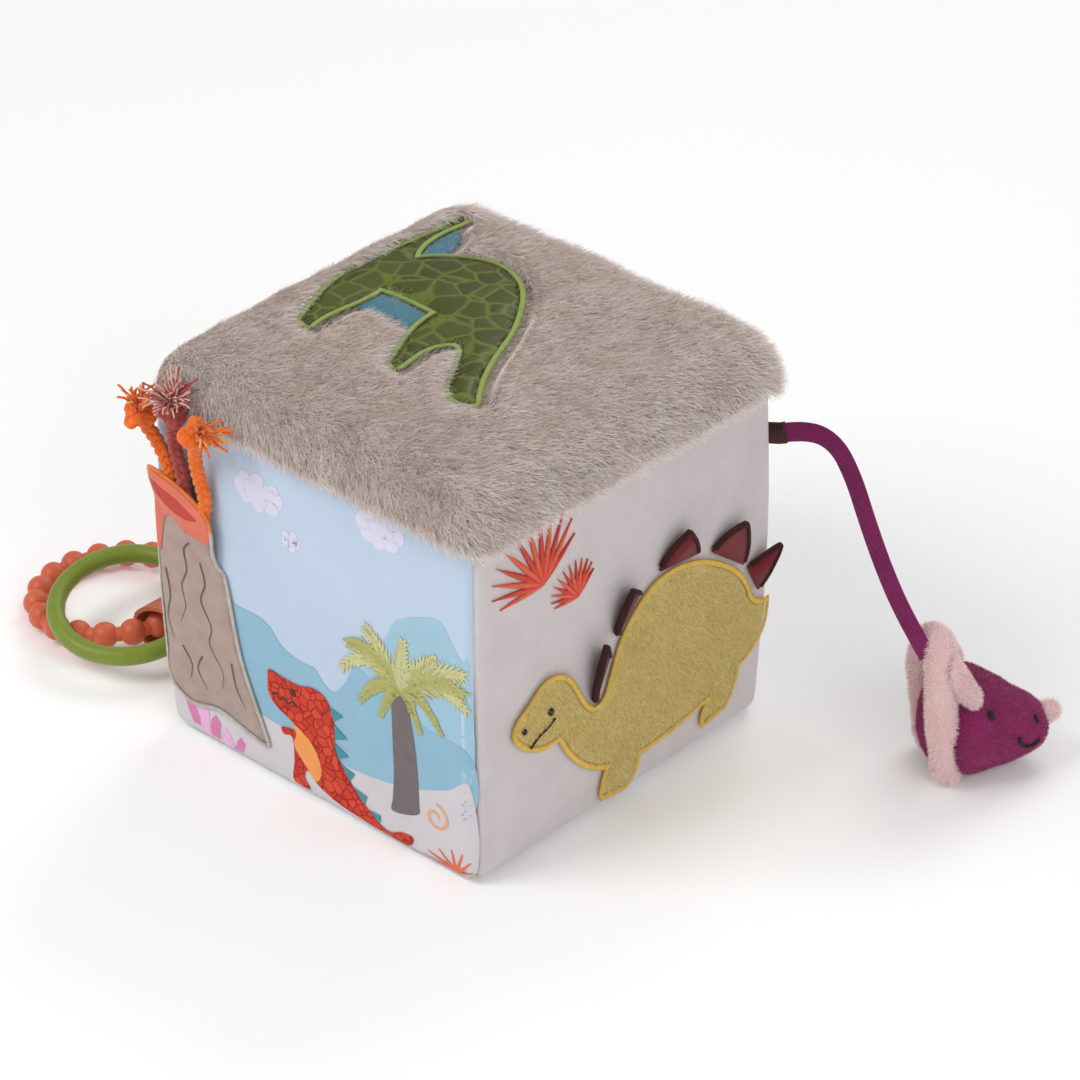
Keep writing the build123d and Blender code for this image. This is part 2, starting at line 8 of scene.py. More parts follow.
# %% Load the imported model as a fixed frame
import bpy
import bmesh
import json
import random
from math import atan2, ceil, cos, exp, hypot, pi, radians, sin
from mathutils import Matrix, Vector, noise
from mathutils.bvhtree import BVHTree
from mathutils.kdtree import KDTree

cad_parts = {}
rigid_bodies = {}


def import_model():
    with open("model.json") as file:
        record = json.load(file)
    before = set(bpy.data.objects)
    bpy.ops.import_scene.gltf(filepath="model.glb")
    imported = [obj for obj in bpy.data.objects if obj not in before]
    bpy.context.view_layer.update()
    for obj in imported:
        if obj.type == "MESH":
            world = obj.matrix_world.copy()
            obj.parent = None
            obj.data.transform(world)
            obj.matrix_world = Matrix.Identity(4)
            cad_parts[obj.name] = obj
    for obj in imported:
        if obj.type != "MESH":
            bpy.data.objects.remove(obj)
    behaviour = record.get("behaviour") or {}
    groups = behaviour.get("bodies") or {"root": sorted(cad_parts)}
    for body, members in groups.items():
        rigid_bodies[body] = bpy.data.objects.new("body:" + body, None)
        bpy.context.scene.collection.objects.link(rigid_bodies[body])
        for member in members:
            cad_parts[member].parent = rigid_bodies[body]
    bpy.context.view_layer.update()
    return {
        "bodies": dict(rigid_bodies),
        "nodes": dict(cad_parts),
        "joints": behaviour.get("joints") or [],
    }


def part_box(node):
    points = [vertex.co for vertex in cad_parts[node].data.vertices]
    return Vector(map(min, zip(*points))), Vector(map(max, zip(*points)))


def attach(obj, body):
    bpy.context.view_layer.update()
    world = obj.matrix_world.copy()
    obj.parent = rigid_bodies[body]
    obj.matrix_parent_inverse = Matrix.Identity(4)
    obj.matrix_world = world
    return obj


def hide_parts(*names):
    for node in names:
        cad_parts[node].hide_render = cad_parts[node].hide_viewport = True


for leftover in list(bpy.data.objects):
    bpy.data.objects.remove(leftover)
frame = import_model()
nodes = frame["nodes"]

# %% [markdown]
# ## Camera
# A long lens stands far off, as a product photographer places it, so that the cube's edges
# stay nearly parallel. It looks down at the front corner, where the print meets the knit.

# %% Camera
AZIMUTH, ELEVATION = radians(42.56), radians(32.39)
AIM = Vector((0.0054, 0.0331, 0.0613))
DISTANCE = 1.69
LENS = 157.4

camera = bpy.data.objects.new("camera", bpy.data.cameras.new("camera"))
bpy.context.scene.collection.objects.link(camera)
towards = Vector((sin(AZIMUTH) * cos(ELEVATION), -cos(AZIMUTH) * cos(ELEVATION), sin(ELEVATION)))
camera.location = AIM + towards * DISTANCE
camera.rotation_euler = (-towards).to_track_quat("-Z", "Y").to_euler()
camera.data.lens = LENS
bpy.context.scene.camera = camera
print("camera at", [round(v, 3) for v in camera.location])

# %% [markdown]
# ## Soft shape of the block
# Foam in cloth has no flat faces. The faces belly out, the block is a little wider above its
# middle than at its foot, and the cloth has slow, shallow waves. One function moves any point
# near the block in this way, so that panels, patches and stitches stay together.

# %% Soft shape
HALF = -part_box("front_print_panel")[0].y
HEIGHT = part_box("top_fur_panel")[1].z
MM = 0.001
BELLY = 1.6 * MM            # how far the middle of each face stands out
WAVE = 0.35 * MM
EDGE_R = 6.0 * MM


def swell(z):
    """Width of the block at a height, as a factor of its width in the model."""
    share = max(0.0, min(1.0, z / HEIGHT))
    return 0.996 + 0.030 * sin(pi * min(1.0, share * 0.92 + 0.04)) ** 0.8 + 0.010 * share


def soften(p):
    """The place that a point on or near the block takes on the soft toy."""
    x, y, z = p
    across, along, up = x / HALF, y / HALF, (z - HEIGHT / 2) / (HEIGHT / 2)
    gx, gy, gz = (max(0.0, 1 - v * v) for v in (across, along, up))
    out = Vector((across ** 3 * gy * gz, along ** 3 * gx * gz, max(0.0, up) ** 3 * gx * gy)) * BELLY
    waves = noise.noise_vector(Vector(p) * 28) * WAVE * min(1.0, z / 0.02)
    wide = swell(z)
    return Vector((x * wide, y * wide, z)) + out + waves


print("block", round(HALF * 2, 4), "wide,", round(HEIGHT, 4), "tall; widest factor", round(swell(0.075), 3))

# %% [markdown]
# ## Faces
# Each face has its own flat frame: two directions in the cloth and one out of it. Patches are
# drawn in the face's own metres, and then placed and softened. Towards a seam the cloth
# rolls over the edge, so a panel's border turns through an eighth of a circle.

# %% Faces
FACES = {
    "top": (Vector((1, 0, 0)), Vector((0, 1, 0)), Vector((0, 0, 1)), Vector((0, 0, HEIGHT))),
    "front": (Vector((1, 0, 0)), Vector((0, 0, 1)), Vector((0, -1, 0)), Vector((0, -HALF, HEIGHT / 2))),
    "right": (Vector((0, 1, 0)), Vector((0, 0, 1)), Vector((1, 0, 0)), Vector((HALF, 0, HEIGHT / 2))),
    "back": (Vector((-1, 0, 0)), Vector((0, 0, 1)), Vector((0, 1, 0)), Vector((0, HALF, HEIGHT / 2))),
    "left": (Vector((0, -1, 0)), Vector((0, 0, 1)), Vector((-1, 0, 0)), Vector((-HALF, 0, HEIGHT / 2))),
    "base": (Vector((-1, 0, 0)), Vector((0, 1, 0)), Vector((0, 0, -1)), Vector((0, 0, 0))),
}


def roll(v):
    """How far along a face and how far in a point lies whose cloth distance from the middle is v."""
    flat = HALF - EDGE_R
    if abs(v) <= flat:
        return v, 0.0, 0.0
    turn = (abs(v) - flat) / EDGE_R
    angle = turn * pi / 4
    side = 1 if v > 0 else -1
    return side * (flat + EDGE_R * sin(angle) * 1.0), EDGE_R * (1 - cos(angle)), turn


def on_face(face, a, b, out=0.0):
    """A soft point from cloth distances a and b on a face, and its height above the cloth."""
    u, v, n, origin = FACES[face]
    ra, drop_a, turn_a = roll(a)
    rb, drop_b, turn_b = roll(b)
    ra -= drop_b * turn_a * (1 if a > 0 else -1)
    rb -= drop_a * turn_b * (1 if b > 0 else -1)
    lean = n + u * (turn_a * 0.7 * (1 if a > 0 else -1)) + v * (turn_b * 0.7 * (1 if b > 0 else -1))
    flat_place = origin + u * ra + v * rb - n * (drop_a + drop_b)
    return soften(flat_place) + lean.normalized() * out


def face_coords(face, p):
    """Cloth distances and height of a point of the model on a face."""
    u, v, n, origin = FACES[face]
    d = Vector(p) - origin
    return d.dot(u), d.dot(v), d.dot(n)


# %% Helpers that put a finished bmesh in the scene
def keep(name, bm, material, smooth=True):
    """Makes an object at the origin from a bmesh and gives it one material or several."""
    mesh = bpy.data.meshes.new(name)
    bm.to_mesh(mesh)
    bm.free()
    return keep_mesh(name, mesh, material, smooth)


def keep_mesh(name, mesh, material, smooth=True):
    """Makes an object at the origin from a mesh."""
    piece = bpy.data.objects.new(name, mesh)
    bpy.context.scene.collection.objects.link(piece)
    mesh.materials.clear()
    for one in material if isinstance(material, (list, tuple)) else [material]:
        mesh.materials.append(one)
    for polygon in mesh.polygons:
        polygon.use_smooth = smooth
    return piece


def applied(piece):
    """The same piece with its modifiers turned into mesh."""
    depsgraph = bpy.context.evaluated_depsgraph_get()
    mesh = bpy.data.meshes.new_from_object(piece.evaluated_get(depsgraph))
    piece.modifiers.clear()
    piece.data = mesh
    return piece


def goes(piece, body, slot, *replaced):
    """Says which body a piece moves with and which model nodes it stands for; the slot is not used."""
    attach(piece, body)
    if replaced:
        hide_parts(*replaced)
    return piece

# %% [markdown]
# ## Shared cloth effects
# Three small node groups are used all over the toy. The first mottles a colour, as dye and
# lighting do in real cloth. The second is a plain weave seen close up. The third is the fine
# broken-up surface of pile and felt. Each puts out a mask or a height, and every material
# mixes its own colours with it.


# %% Node group helpers
def new_group(name, inputs, outputs):
    """An empty shader node group with named sockets."""
    group = bpy.data.node_groups.new(name, "ShaderNodeTree")
    for title, kind, value in inputs:
        socket = group.interface.new_socket(title, in_out="INPUT", socket_type=kind)
        if value is not None:
            socket.default_value = value
    for title, kind in outputs:
        group.interface.new_socket(title, in_out="OUTPUT", socket_type=kind)
    start = group.nodes.new("NodeGroupInput")
    end = group.nodes.new("NodeGroupOutput")
    return group, start, end


def maths(tree, operation, a, b=None, c=None, clamp=False):
    """A Math node whose inputs are sockets or numbers."""
    node = tree.nodes.new("ShaderNodeMath")
    node.operation = operation
    node.use_clamp = clamp
    for socket, value in zip(node.inputs, (a, b, c)):
        if isinstance(value, bpy.types.NodeSocket):
            tree.links.new(value, socket)
        elif value is not None:
            socket.default_value = value
    return node.outputs[0]


def noise_of(tree, vector, scale, detail=3.0, rough=0.55, output="Fac"):
    """A Noise Texture on a vector; scale is a number or a socket."""
    node = tree.nodes.new("ShaderNodeTexNoise")
    tree.links.new(vector, node.inputs["Vector"])
    if isinstance(scale, bpy.types.NodeSocket):
        tree.links.new(scale, node.inputs["Scale"])
    else:
        node.inputs["Scale"].default_value = scale
    node.inputs["Detail"].default_value = detail
    node.inputs["Roughness"].default_value = rough
    return node.outputs[output]


def stretch(tree, value, low, high):
    """A value mapped from low..high to 0..1."""
    node = tree.nodes.new("ShaderNodeMapRange")
    tree.links.new(value, node.inputs["Value"])
    node.inputs["From Min"].default_value = low
    node.inputs["From Max"].default_value = high
    return node.outputs["Result"]


# %% Mottle: slow changes of shade
mottle, ins, outs = new_group("mottle", [("Vector", "NodeSocketVector", None), ("Scale", "NodeSocketFloat", 60.0)],
                              [("Mask", "NodeSocketFloat")])
slow = noise_of(mottle, ins.outputs["Vector"], ins.outputs["Scale"], 4.0, 0.6)
mottle.links.new(stretch(mottle, slow, 0.3, 0.7), outs.inputs["Mask"])

# %% Plain weave: warp and weft pass over each other
weave, ins, outs = new_group("plain weave", [("Vector", "NodeSocketVector", None),
                                             ("Threads per metre", "NodeSocketFloat", 2000.0)],
                             [("Height", "NodeSocketFloat"), ("Mask", "NodeSocketFloat")])
parts = weave.nodes.new("ShaderNodeSeparateXYZ")
weave.links.new(ins.outputs["Vector"], parts.inputs[0])
count = maths(weave, "MULTIPLY", ins.outputs["Threads per metre"], pi)
sx = maths(weave, "SINE", maths(weave, "MULTIPLY", parts.outputs["X"], count))
sy = maths(weave, "SINE", maths(weave, "MULTIPLY", parts.outputs["Y"], count))
over = maths(weave, "MULTIPLY", sx, sy)
warp = maths(weave, "MULTIPLY", maths(weave, "ABSOLUTE", sx), stretch(weave, over, -0.3, 0.3))
weft = maths(weave, "MULTIPLY", maths(weave, "ABSOLUTE", sy), stretch(weave, over, 0.3, -0.3))
height = maths(weave, "ADD", warp, weft)
weave.links.new(height, outs.inputs["Height"])
weave.links.new(stretch(weave, height, 0.2, 0.9), outs.inputs["Mask"])

# %% Pile: fine broken fibres
pile, ins, outs = new_group("pile", [("Vector", "NodeSocketVector", None), ("Scale", "NodeSocketFloat", 900.0)],
                            [("Height", "NodeSocketFloat"), ("Mask", "NodeSocketFloat")])
coarse = noise_of(pile, ins.outputs["Vector"], ins.outputs["Scale"], 5.0, 0.75)
fine = noise_of(pile, ins.outputs["Vector"], maths(pile, "MULTIPLY", ins.outputs["Scale"], 3.1), 2.0, 0.6)
both = maths(pile, "ADD", maths(pile, "MULTIPLY", coarse, 0.65), maths(pile, "MULTIPLY", fine, 0.35))
pile.links.new(both, outs.inputs["Height"])
pile.links.new(stretch(pile, both, 0.35, 0.65), outs.inputs["Mask"])
print("groups:", mottle.name, weave.name, pile.name)

# %% [markdown]
# ## Cloth materials
# A cloth is two or three shades of one colour, mixed by those masks, with a bump from the same
# height and a sheen at grazing angles. The pattern is laid in the plane of its panel, so a
# Mapping node turns the object's coordinates until the panel's two directions are X and Y.

# %% Material builder
TURNS = {"top": (0, 0, 0), "front": (pi / 2, 0, 0), "right": (0, pi / 2, 0), "any": (0.6, 0.5, 0.4)}


def linear(r, g, b):
    """A display colour, 0 to 255, as the linear colour that shaders use."""
    return [((v / 255 + 0.055) / 1.055) ** 2.4 if v > 10 else v / 255 / 12.92 for v in (r, g, b)] + [1.0]


def mixed(tree, mask, a, b):
    """Two colours, or colour sockets, mixed by a mask."""
    node = tree.nodes.new("ShaderNodeMix")
    node.data_type = "RGBA"
    tree.links.new(mask, node.inputs["Factor"])
    for index, value in ((6, a), (7, b)):
        if isinstance(value, bpy.types.NodeSocket):
            tree.links.new(value, node.inputs[index])
        else:
            node.inputs[index].default_value = value
    return node.outputs[2]


def start_material(name, turn="any"):
    """An empty material, its shader and its turned object coordinates."""
    material = bpy.data.materials.new(name)
    material.use_nodes = True
    tree = material.node_tree
    shader = tree.nodes["Principled BSDF"]
    coords = tree.nodes.new("ShaderNodeTexCoord")
    mapping = tree.nodes.new("ShaderNodeMapping")
    mapping.inputs["Rotation"].default_value = TURNS[turn]
    tree.links.new(coords.outputs["Object"], mapping.inputs["Vector"])
    return material, tree, shader, mapping.outputs["Vector"]


def use(tree, group, **values):
    """A node that holds a shared group, with its inputs set or linked."""
    node = tree.nodes.new("ShaderNodeGroup")
    node.node_tree = group
    for title, value in values.items():
        socket = node.inputs[title.replace("_", " ")]
        if isinstance(value, bpy.types.NodeSocket):
            tree.links.new(value, socket)
        else:
            socket.default_value = value
    return node


def bumped(tree, shader, height, strength, distance):
    """Feeds a height to the shader's normal through a Bump node."""
    bump = tree.nodes.new("ShaderNodeBump")
    bump.inputs["Strength"].default_value = strength
    bump.inputs["Distance"].default_value = distance
    tree.links.new(height, bump.inputs["Height"])
    tree.links.new(bump.outputs["Normal"], shader.inputs["Normal"])


def cloth(name, dark, light, kind="pile", scale=900.0, turn="any", rough=0.9, sheen=0.3, bump=0.5,
          spots=60.0, depth=0.0006):
    """A cloth of one colour in two shades; kind is pile or weave."""
    material, tree, shader, vector = start_material(name, turn)
    if kind == "pile":
        fibres = use(tree, pile, Vector=vector, Scale=scale)
    else:
        fibres = use(tree, weave, Vector=vector, Threads_per_metre=scale)
    patches = use(tree, mottle, Vector=vector, Scale=spots)
    shade = maths(tree, "ADD", maths(tree, "MULTIPLY", fibres.outputs["Mask"], 0.6),
                  maths(tree, "MULTIPLY", patches.outputs["Mask"], 0.4))
    tree.links.new(mixed(tree, shade, linear(*dark), linear(*light)), shader.inputs["Base Color"])
    shader.inputs["Roughness"].default_value = rough
    shader.inputs["Sheen Weight"].default_value = sheen
    shader.inputs["Sheen Roughness"].default_value = 0.5
    bumped(tree, shader, fibres.outputs["Height"], bump, depth)
    return material


# %% The plain cloths
knit_cloth = cloth("pale knit", (190, 181, 182), (214, 206, 206), "weave", 1500.0, "right", sheen=0.4, bump=0.3)
back_cloth = cloth("back knit", (190, 181, 182), (214, 206, 206), "weave", 1500.0, "front", sheen=0.4, bump=0.3)
fleece = cloth("grey fleece", (168, 164, 160), (208, 204, 200), scale=700.0)
felt = cloth("dark red felt", (92, 2, 14), (134, 12, 30), scale=1200.0, sheen=0.08)
plush = cloth("purple plush", (112, 4, 66), (160, 14, 106), scale=1300.0, sheen=0.12, spots=90.0)
pink_plush = cloth("pink plush", (222, 184, 186), (242, 214, 212), scale=1300.0, sheen=0.5)
yellow_pile = cloth("yellow pile", (186, 160, 80), (220, 200, 124), scale=1100.0, sheen=0.4)
webbing = cloth("webbing", (150, 60, 30), (214, 110, 60), "weave", 1500.0, "top", sheen=0.2)
sky = cloth("sky print", (178, 196, 216), (194, 210, 228), "weave", 2200.0, "front", sheen=0.1, bump=0.2, spots=22.0)
print(len(bpy.data.materials), "materials so far")

# %% [markdown]
# ## The panels
# Each panel is a fine grid that rolls over at its seams. A grid is better here than a cube with
# bevelled edges, because every panel has its own cloth and its own piece of the pattern. A
# Solidify modifier turns the sheet into cloth with a thickness, inwards.

# %% Panels
CLOTH_T = 1.4 * MM
SEAM = 0.8 * MM             # how deep a seam is drawn in


def panel(name, face, material, slot, cells=64):
    """One panel of the block, from seam to seam."""
    bm = bmesh.new()
    bmesh.ops.create_grid(bm, x_segments=cells, y_segments=cells, size=HALF)
    for vert in bm.verts:
        a, b, _ = vert.co
        near = max(0.0, 1 - (HALF - max(abs(a), abs(b))) / (3 * MM))
        vert.co = on_face(face, a, b, -SEAM * near ** 2)
    bmesh.ops.recalc_face_normals(bm, faces=bm.faces)
    middle = min(bm.faces, key=lambda f: (f.calc_center_median() - FACES[face][3]).length)
    if middle.normal.dot(FACES[face][2]) < 0:
        bmesh.ops.reverse_faces(bm, faces=bm.faces)
    piece = keep(name, bm, material)
    thick = piece.modifiers.new("cloth", "SOLIDIFY")
    thick.thickness = CLOTH_T
    thick.offset = -1
    goes(piece, "block", slot, name.replace("cover_", ""))
    return piece


front = panel("cover_front_print_panel", "front", sky, "print_cloth")
right = panel("cover_right_knit_panel", "right", knit_cloth, "knit")
back = panel("cover_back_knit_panel", "back", back_cloth, "knit")
base = panel("cover_base_panel", "base", fleece, "fleece", cells=24)
print("panels:", front.name, right.name, back.name, base.name)

# %% [markdown]
# ## Patches and prints
# A sewn patch and a printed shape start in the same way: a flat outline, filled, and cut by a
# grid of planes so that it can bend with the panel. A patch then swells between its borders,
# and its border is turned down into the cloth. An outline with curves is a smooth line through
# a few chosen points.


# %% Flat shapes
def outer_side(node, face):
    """A bmesh of a model patch's outer side only, in its face's own coordinates."""
    bm = bmesh.new()
    bm.from_mesh(nodes[node].data)
    bmesh.ops.remove_doubles(bm, verts=bm.verts, dist=1e-6)
    normal = FACES[face][2]
    top = max(face_coords(face, v.co)[2] for v in bm.verts)
    inner = [f for f in bm.faces if f.normal.dot(normal) < 0.9
             or face_coords(face, f.calc_center_median())[2] < top - 0.05 * MM]
    bmesh.ops.delete(bm, geom=inner, context="FACES")
    bmesh.ops.dissolve_limit(bm, angle_limit=0.02, verts=bm.verts, edges=bm.edges)
    for vert in bm.verts:
        a, b, _ = face_coords(face, vert.co)
        vert.co = (a, b, 0)
    bm.normal_update()
    return bm


def loops_of(bm):
    """Each face's outline as a list of flat points, anticlockwise."""
    return [[Vector((v.co.x, v.co.y)) for v in f.verts] for f in bm.faces]


def smooth_loop(points, closed=True, step=1.0):
    """A smooth line through points, in the points' own unit."""
    line = [Vector(p) for p in points]
    count = len(line)
    out = []
    for i in range(count if closed else count - 1):
        if closed:
            p0, p1, p2, p3 = (line[(i + k) % count] for k in (-1, 0, 1, 2))
        else:
            p0, p1, p2, p3 = (line[max(0, min(count - 1, i + k))] for k in (-1, 0, 1, 2))
        pieces = max(1, ceil((p2 - p1).length / step))
        for j in range(pieces):
            t = j / pieces
            out.append(0.5 * ((2 * p1) + (p2 - p0) * t + (2 * p0 - 5 * p1 + 4 * p2 - p3) * t * t
                              + (3 * p1 - p0 - 3 * p2 + p3) * t ** 3))
    return out if closed else out + [line[-1]]


def drawn(points, sharp=False):
    """A filled flat shape on the front face from points (x, z) in millimetres."""
    line = [Vector(p) for p in points] if sharp else smooth_loop(points, True, 1.5)
    bm = bmesh.new()
    ring = [bm.verts.new((p.x * MM, p.y * MM - HEIGHT / 2, 0)) for p in line]
    made = bm.faces.new(ring)
    made.normal_update()
    if made.normal.z < 0:
        made.normal_flip()
    return bm


def band(points, width, closed=False, taper=False):
    """A flat line of a width in millimetres along points (x, z), as a filled shape."""
    line = smooth_loop(points, closed, 1.5)
    left, right = [], []
    for i, p in enumerate(line):
        along = (line[min(i + 1, len(line) - 1)] - line[max(i - 1, 0)]).normalized()
        half = width / 2 * (1 - 0.85 * i / len(line) if taper else 1)
        side = Vector((-along.y, along.x)) * half
        left.append(p + side)
        right.append(p - side)
    return drawn(left + right[::-1], sharp=True)


def lay(name, flat, face, material, slot, rise, height=0.0, fall=2.0 * MM, cell=3.0 * MM, depth=0.5 * MM,
        lift=None, body="block", replaced=()):
    """Cuts a flat shape by a grid, swells it, turns its border down and lays it on the soft block."""
    bmesh.ops.triangulate(flat, faces=flat.faces[:])
    for axis in (0, 1):
        low = min(v.co[axis] for v in flat.verts)
        high = max(v.co[axis] for v in flat.verts)
        normal = Vector((1, 0, 0)) if axis == 0 else Vector((0, 1, 0))
        for i in range(ceil(low / cell), ceil(high / cell)):
            everything = flat.verts[:] + flat.edges[:] + flat.faces[:]
            bmesh.ops.bisect_plane(flat, geom=everything, plane_co=normal * (i * cell), plane_no=normal)
    border = [e for e in flat.edges if e.is_boundary]
    for edge in border:
        edge.smooth = height > 0
    tree = KDTree(2 * len(border))
    for i, edge in enumerate(border):
        tree.insert(edge.verts[0].co, 2 * i)
        tree.insert((edge.verts[0].co + edge.verts[1].co) / 2, 2 * i + 1)
    tree.balance()
    inner = set(flat.verts)
    turned = bmesh.ops.extrude_edge_only(flat, edges=border)
    for vert in flat.verts:
        a, b, _ = vert.co
        extra = lift(a, b) if lift else 0.0
        if vert in inner:
            far = tree.find(vert.co)[2]
            out = rise + height * (1 - exp(-far / fall)) + extra
        else:
            out = -depth + extra * 0.85
        vert.co = on_face(face, a, b, out)
    piece = keep(name, flat, material)
    return goes(piece, body, slot, *replaced)


def joined(flats):
    """Several flat shapes as one bmesh."""
    whole = bmesh.new()
    for flat in flats:
        mesh = bpy.data.meshes.new("part")
        flat.to_mesh(mesh)
        flat.free()
        whole.from_mesh(mesh)
        bpy.data.meshes.remove(mesh)
    return whole


# %% [markdown]
# ## Satin stitch
# The border of each patch is a row of threads laid side by side across its edge. Each thread is
# a small flattened ball, so the border catches light in fine ribs as real embroidery does.

# %% Threads
THREAD_PITCH = 0.62 * MM


def thread(length, width, height):
    """One thread: along X the narrow way, along Y the long way."""
    bm = bmesh.new()
    bmesh.ops.create_uvsphere(bm, u_segments=6, v_segments=4, radius=1)
    bmesh.ops.scale(bm, vec=(length / 2, width / 2, height / 2), verts=bm.verts)
    mesh = bpy.data.meshes.new("thread")
    bm.to_mesh(mesh)
    bm.free()
    return mesh


def walk(loop, pitch, closed=True):
    """Places and directions along a line of points at even steps."""
    line = loop + loop[:1] if closed else loop
    lengths = [0.0]
    for a, b in zip(line, line[1:]):
        lengths.append(lengths[-1] + (b - a).length)
    total = lengths[-1]
    count = max(2, round(total / pitch))

    def at(s):
        s = s % total if closed else max(0.0, min(total, s))
        low = 0
        while low < len(lengths) - 2 and lengths[low + 1] < s:
            low += 1
        part = (s - lengths[low]) / max(1e-9, lengths[low + 1] - lengths[low])
        return line[low].lerp(line[low + 1], part)
    reach = 1.2 * MM
    for i in range(count):
        s = total * i / count
        yield at(s), (at(s + reach) - at(s - reach)).normalized()


def stitch_row(name, loops, face, material, slot, replaced, width=2.1 * MM, shift=1.0 * MM, out=0.9 * MM,
               pitch=THREAD_PITCH, wanted=None, lift=None, seed=1):
    """A satin stitch border along flat outlines; shift moves it outwards from the outline."""
    rand = random.Random(seed)
    one = thread(pitch * 1.12, width, 1.15 * MM)
    bm = bmesh.new()
    for loop in loops:
        for p, along in walk(loop, pitch):
            if wanted and not wanted(p):
                continue
            across = Vector((along.y, -along.x))
            middle = p + across * (shift + rand.uniform(-0.06, 0.06) * MM)
            raised = out + (lift(p.x, p.y) if lift else 0.0) + rand.uniform(-0.05, 0.05) * MM
            place = Matrix(((along.x, across.x, 0, middle.x), (along.y, across.y, 0, middle.y),
                            (0, 0, 1, raised), (0, 0, 0, 1)))
            mesh = one.copy()
            mesh.transform(place)
            bm.from_mesh(mesh)
            bpy.data.meshes.remove(mesh)
    for vert in bm.verts:
        a, b, height = vert.co
        vert.co = on_face(face, a, b, height)
    bmesh.ops.recalc_face_normals(bm, faces=bm.faces)
    return goes(keep(name, bm, material), "block", slot, *replaced)


def silk(name, dark, light, rough=0.42, sheen=0.25):
    """Shiny embroidery thread."""
    return cloth(name, dark, light, scale=2600.0, rough=rough, sheen=sheen, bump=0.25, spots=400.0)


green_thread = silk("green thread", (112, 136, 44), (164, 184, 84))
orange_thread = silk("orange thread", (214, 96, 16), (250, 156, 54))
silver_thread = silk("silver thread", (158, 150, 140), (222, 216, 206))
gold_thread = silk("gold thread", (196, 150, 40), (240, 208, 96))
brown_thread = silk("dark brown thread", (40, 8, 10), (70, 18, 18), 0.75, 0.03)
fern_thread = silk("fern thread", (206, 34, 10), (240, 112, 52))
print("thread pitch", THREAD_PITCH)

# %% [markdown]
# ## Embossed scales
# The green animal is soft synthetic leather pressed with rounded scales. Cells from a Voronoi
# texture give them: the distance to a cell's edge is the height of a scale, and the grooves
# between scales are darker. The printed animal uses the same cells, flat.

# %% Scales group and the two materials that use it
scales, ins, outs = new_group("scales", [("Vector", "NodeSocketVector", None), ("Scale", "NodeSocketFloat", 230.0)],
                              [("Height", "NodeSocketFloat"), ("Groove", "NodeSocketFloat"),
                               ("Cell", "NodeSocketFloat")])
edges = scales.nodes.new("ShaderNodeTexVoronoi")
edges.feature = "DISTANCE_TO_EDGE"
cells = scales.nodes.new("ShaderNodeTexVoronoi")
bent = scales.nodes.new("ShaderNodeVectorMath")
bent.operation = "MULTIPLY_ADD"
wobble = noise_of(scales, ins.outputs["Vector"], 160.0, 1.0, 0.5, "Color")
scales.links.new(wobble, bent.inputs[0])
bent.inputs[1].default_value = (0.0015, 0.0015, 0.0015)
scales.links.new(ins.outputs["Vector"], bent.inputs[2])
for texture in (edges, cells):
    scales.links.new(bent.outputs[0], texture.inputs["Vector"])
    scales.links.new(ins.outputs["Scale"], texture.inputs["Scale"])
scales.links.new(stretch(scales, edges.outputs["Distance"], 0.0, 0.22), outs.inputs["Height"])
scales.links.new(stretch(scales, edges.outputs["Distance"], 0.02, 0.10), outs.inputs["Groove"])
cell_shade = scales.nodes.new("ShaderNodeSeparateColor")
scales.links.new(cells.outputs["Color"], cell_shade.inputs[0])
scales.links.new(cell_shade.outputs[0], outs.inputs["Cell"])


def scaled(name, groove, dark, light, scale, turn, rough, bump, coat=0.0):
    """Leather or print with scale cells."""
    material, tree, shader, vector = start_material(name, turn)
    cell = use(tree, scales, Vector=vector, Scale=scale)
    grain = use(tree, pile, Vector=vector, Scale=1500.0)
    shade = mixed(tree, cell.outputs["Cell"], linear(*dark), linear(*light))
    tree.links.new(mixed(tree, cell.outputs["Groove"], linear(*groove), shade), shader.inputs["Base Color"])
    height = maths(tree, "ADD", maths(tree, "MULTIPLY", cell.outputs["Height"], 0.9),
                   maths(tree, "MULTIPLY", grain.outputs["Height"], 0.12))
    bumped(tree, shader, height, bump, 0.0008)
    tree.links.new(maths(tree, "ADD", maths(tree, "MULTIPLY", grain.outputs["Mask"], 0.16), rough - 0.08),
                   shader.inputs["Roughness"])
    shader.inputs["Specular IOR Level"].default_value = 0.3
    shader.inputs["Coat Weight"].default_value = coat
    shader.inputs["Coat Roughness"].default_value = 0.35
    return material


green_leather = scaled("green leather", (96, 106, 30), (56, 64, 3), (72, 80, 8), 105.0, "top", 0.5, 0.35, 0.04)
teal_satin = cloth("teal satin", (16, 86, 108), (44, 122, 142), "weave", 1700.0, "top", rough=0.45, sheen=0.15,
                   bump=0.3, spots=110.0)
print("leather and satin ready")

# %% Green animal on the fur
FUR_CROWN = 4.2 * MM


def fur_crown(a, b):
    """How far the fur's filling lifts the middle of the top face."""
    return FUR_CROWN * max(0.0, 1 - (a / HALF) ** 4) * max(0.0, 1 - (b / HALF) ** 4)


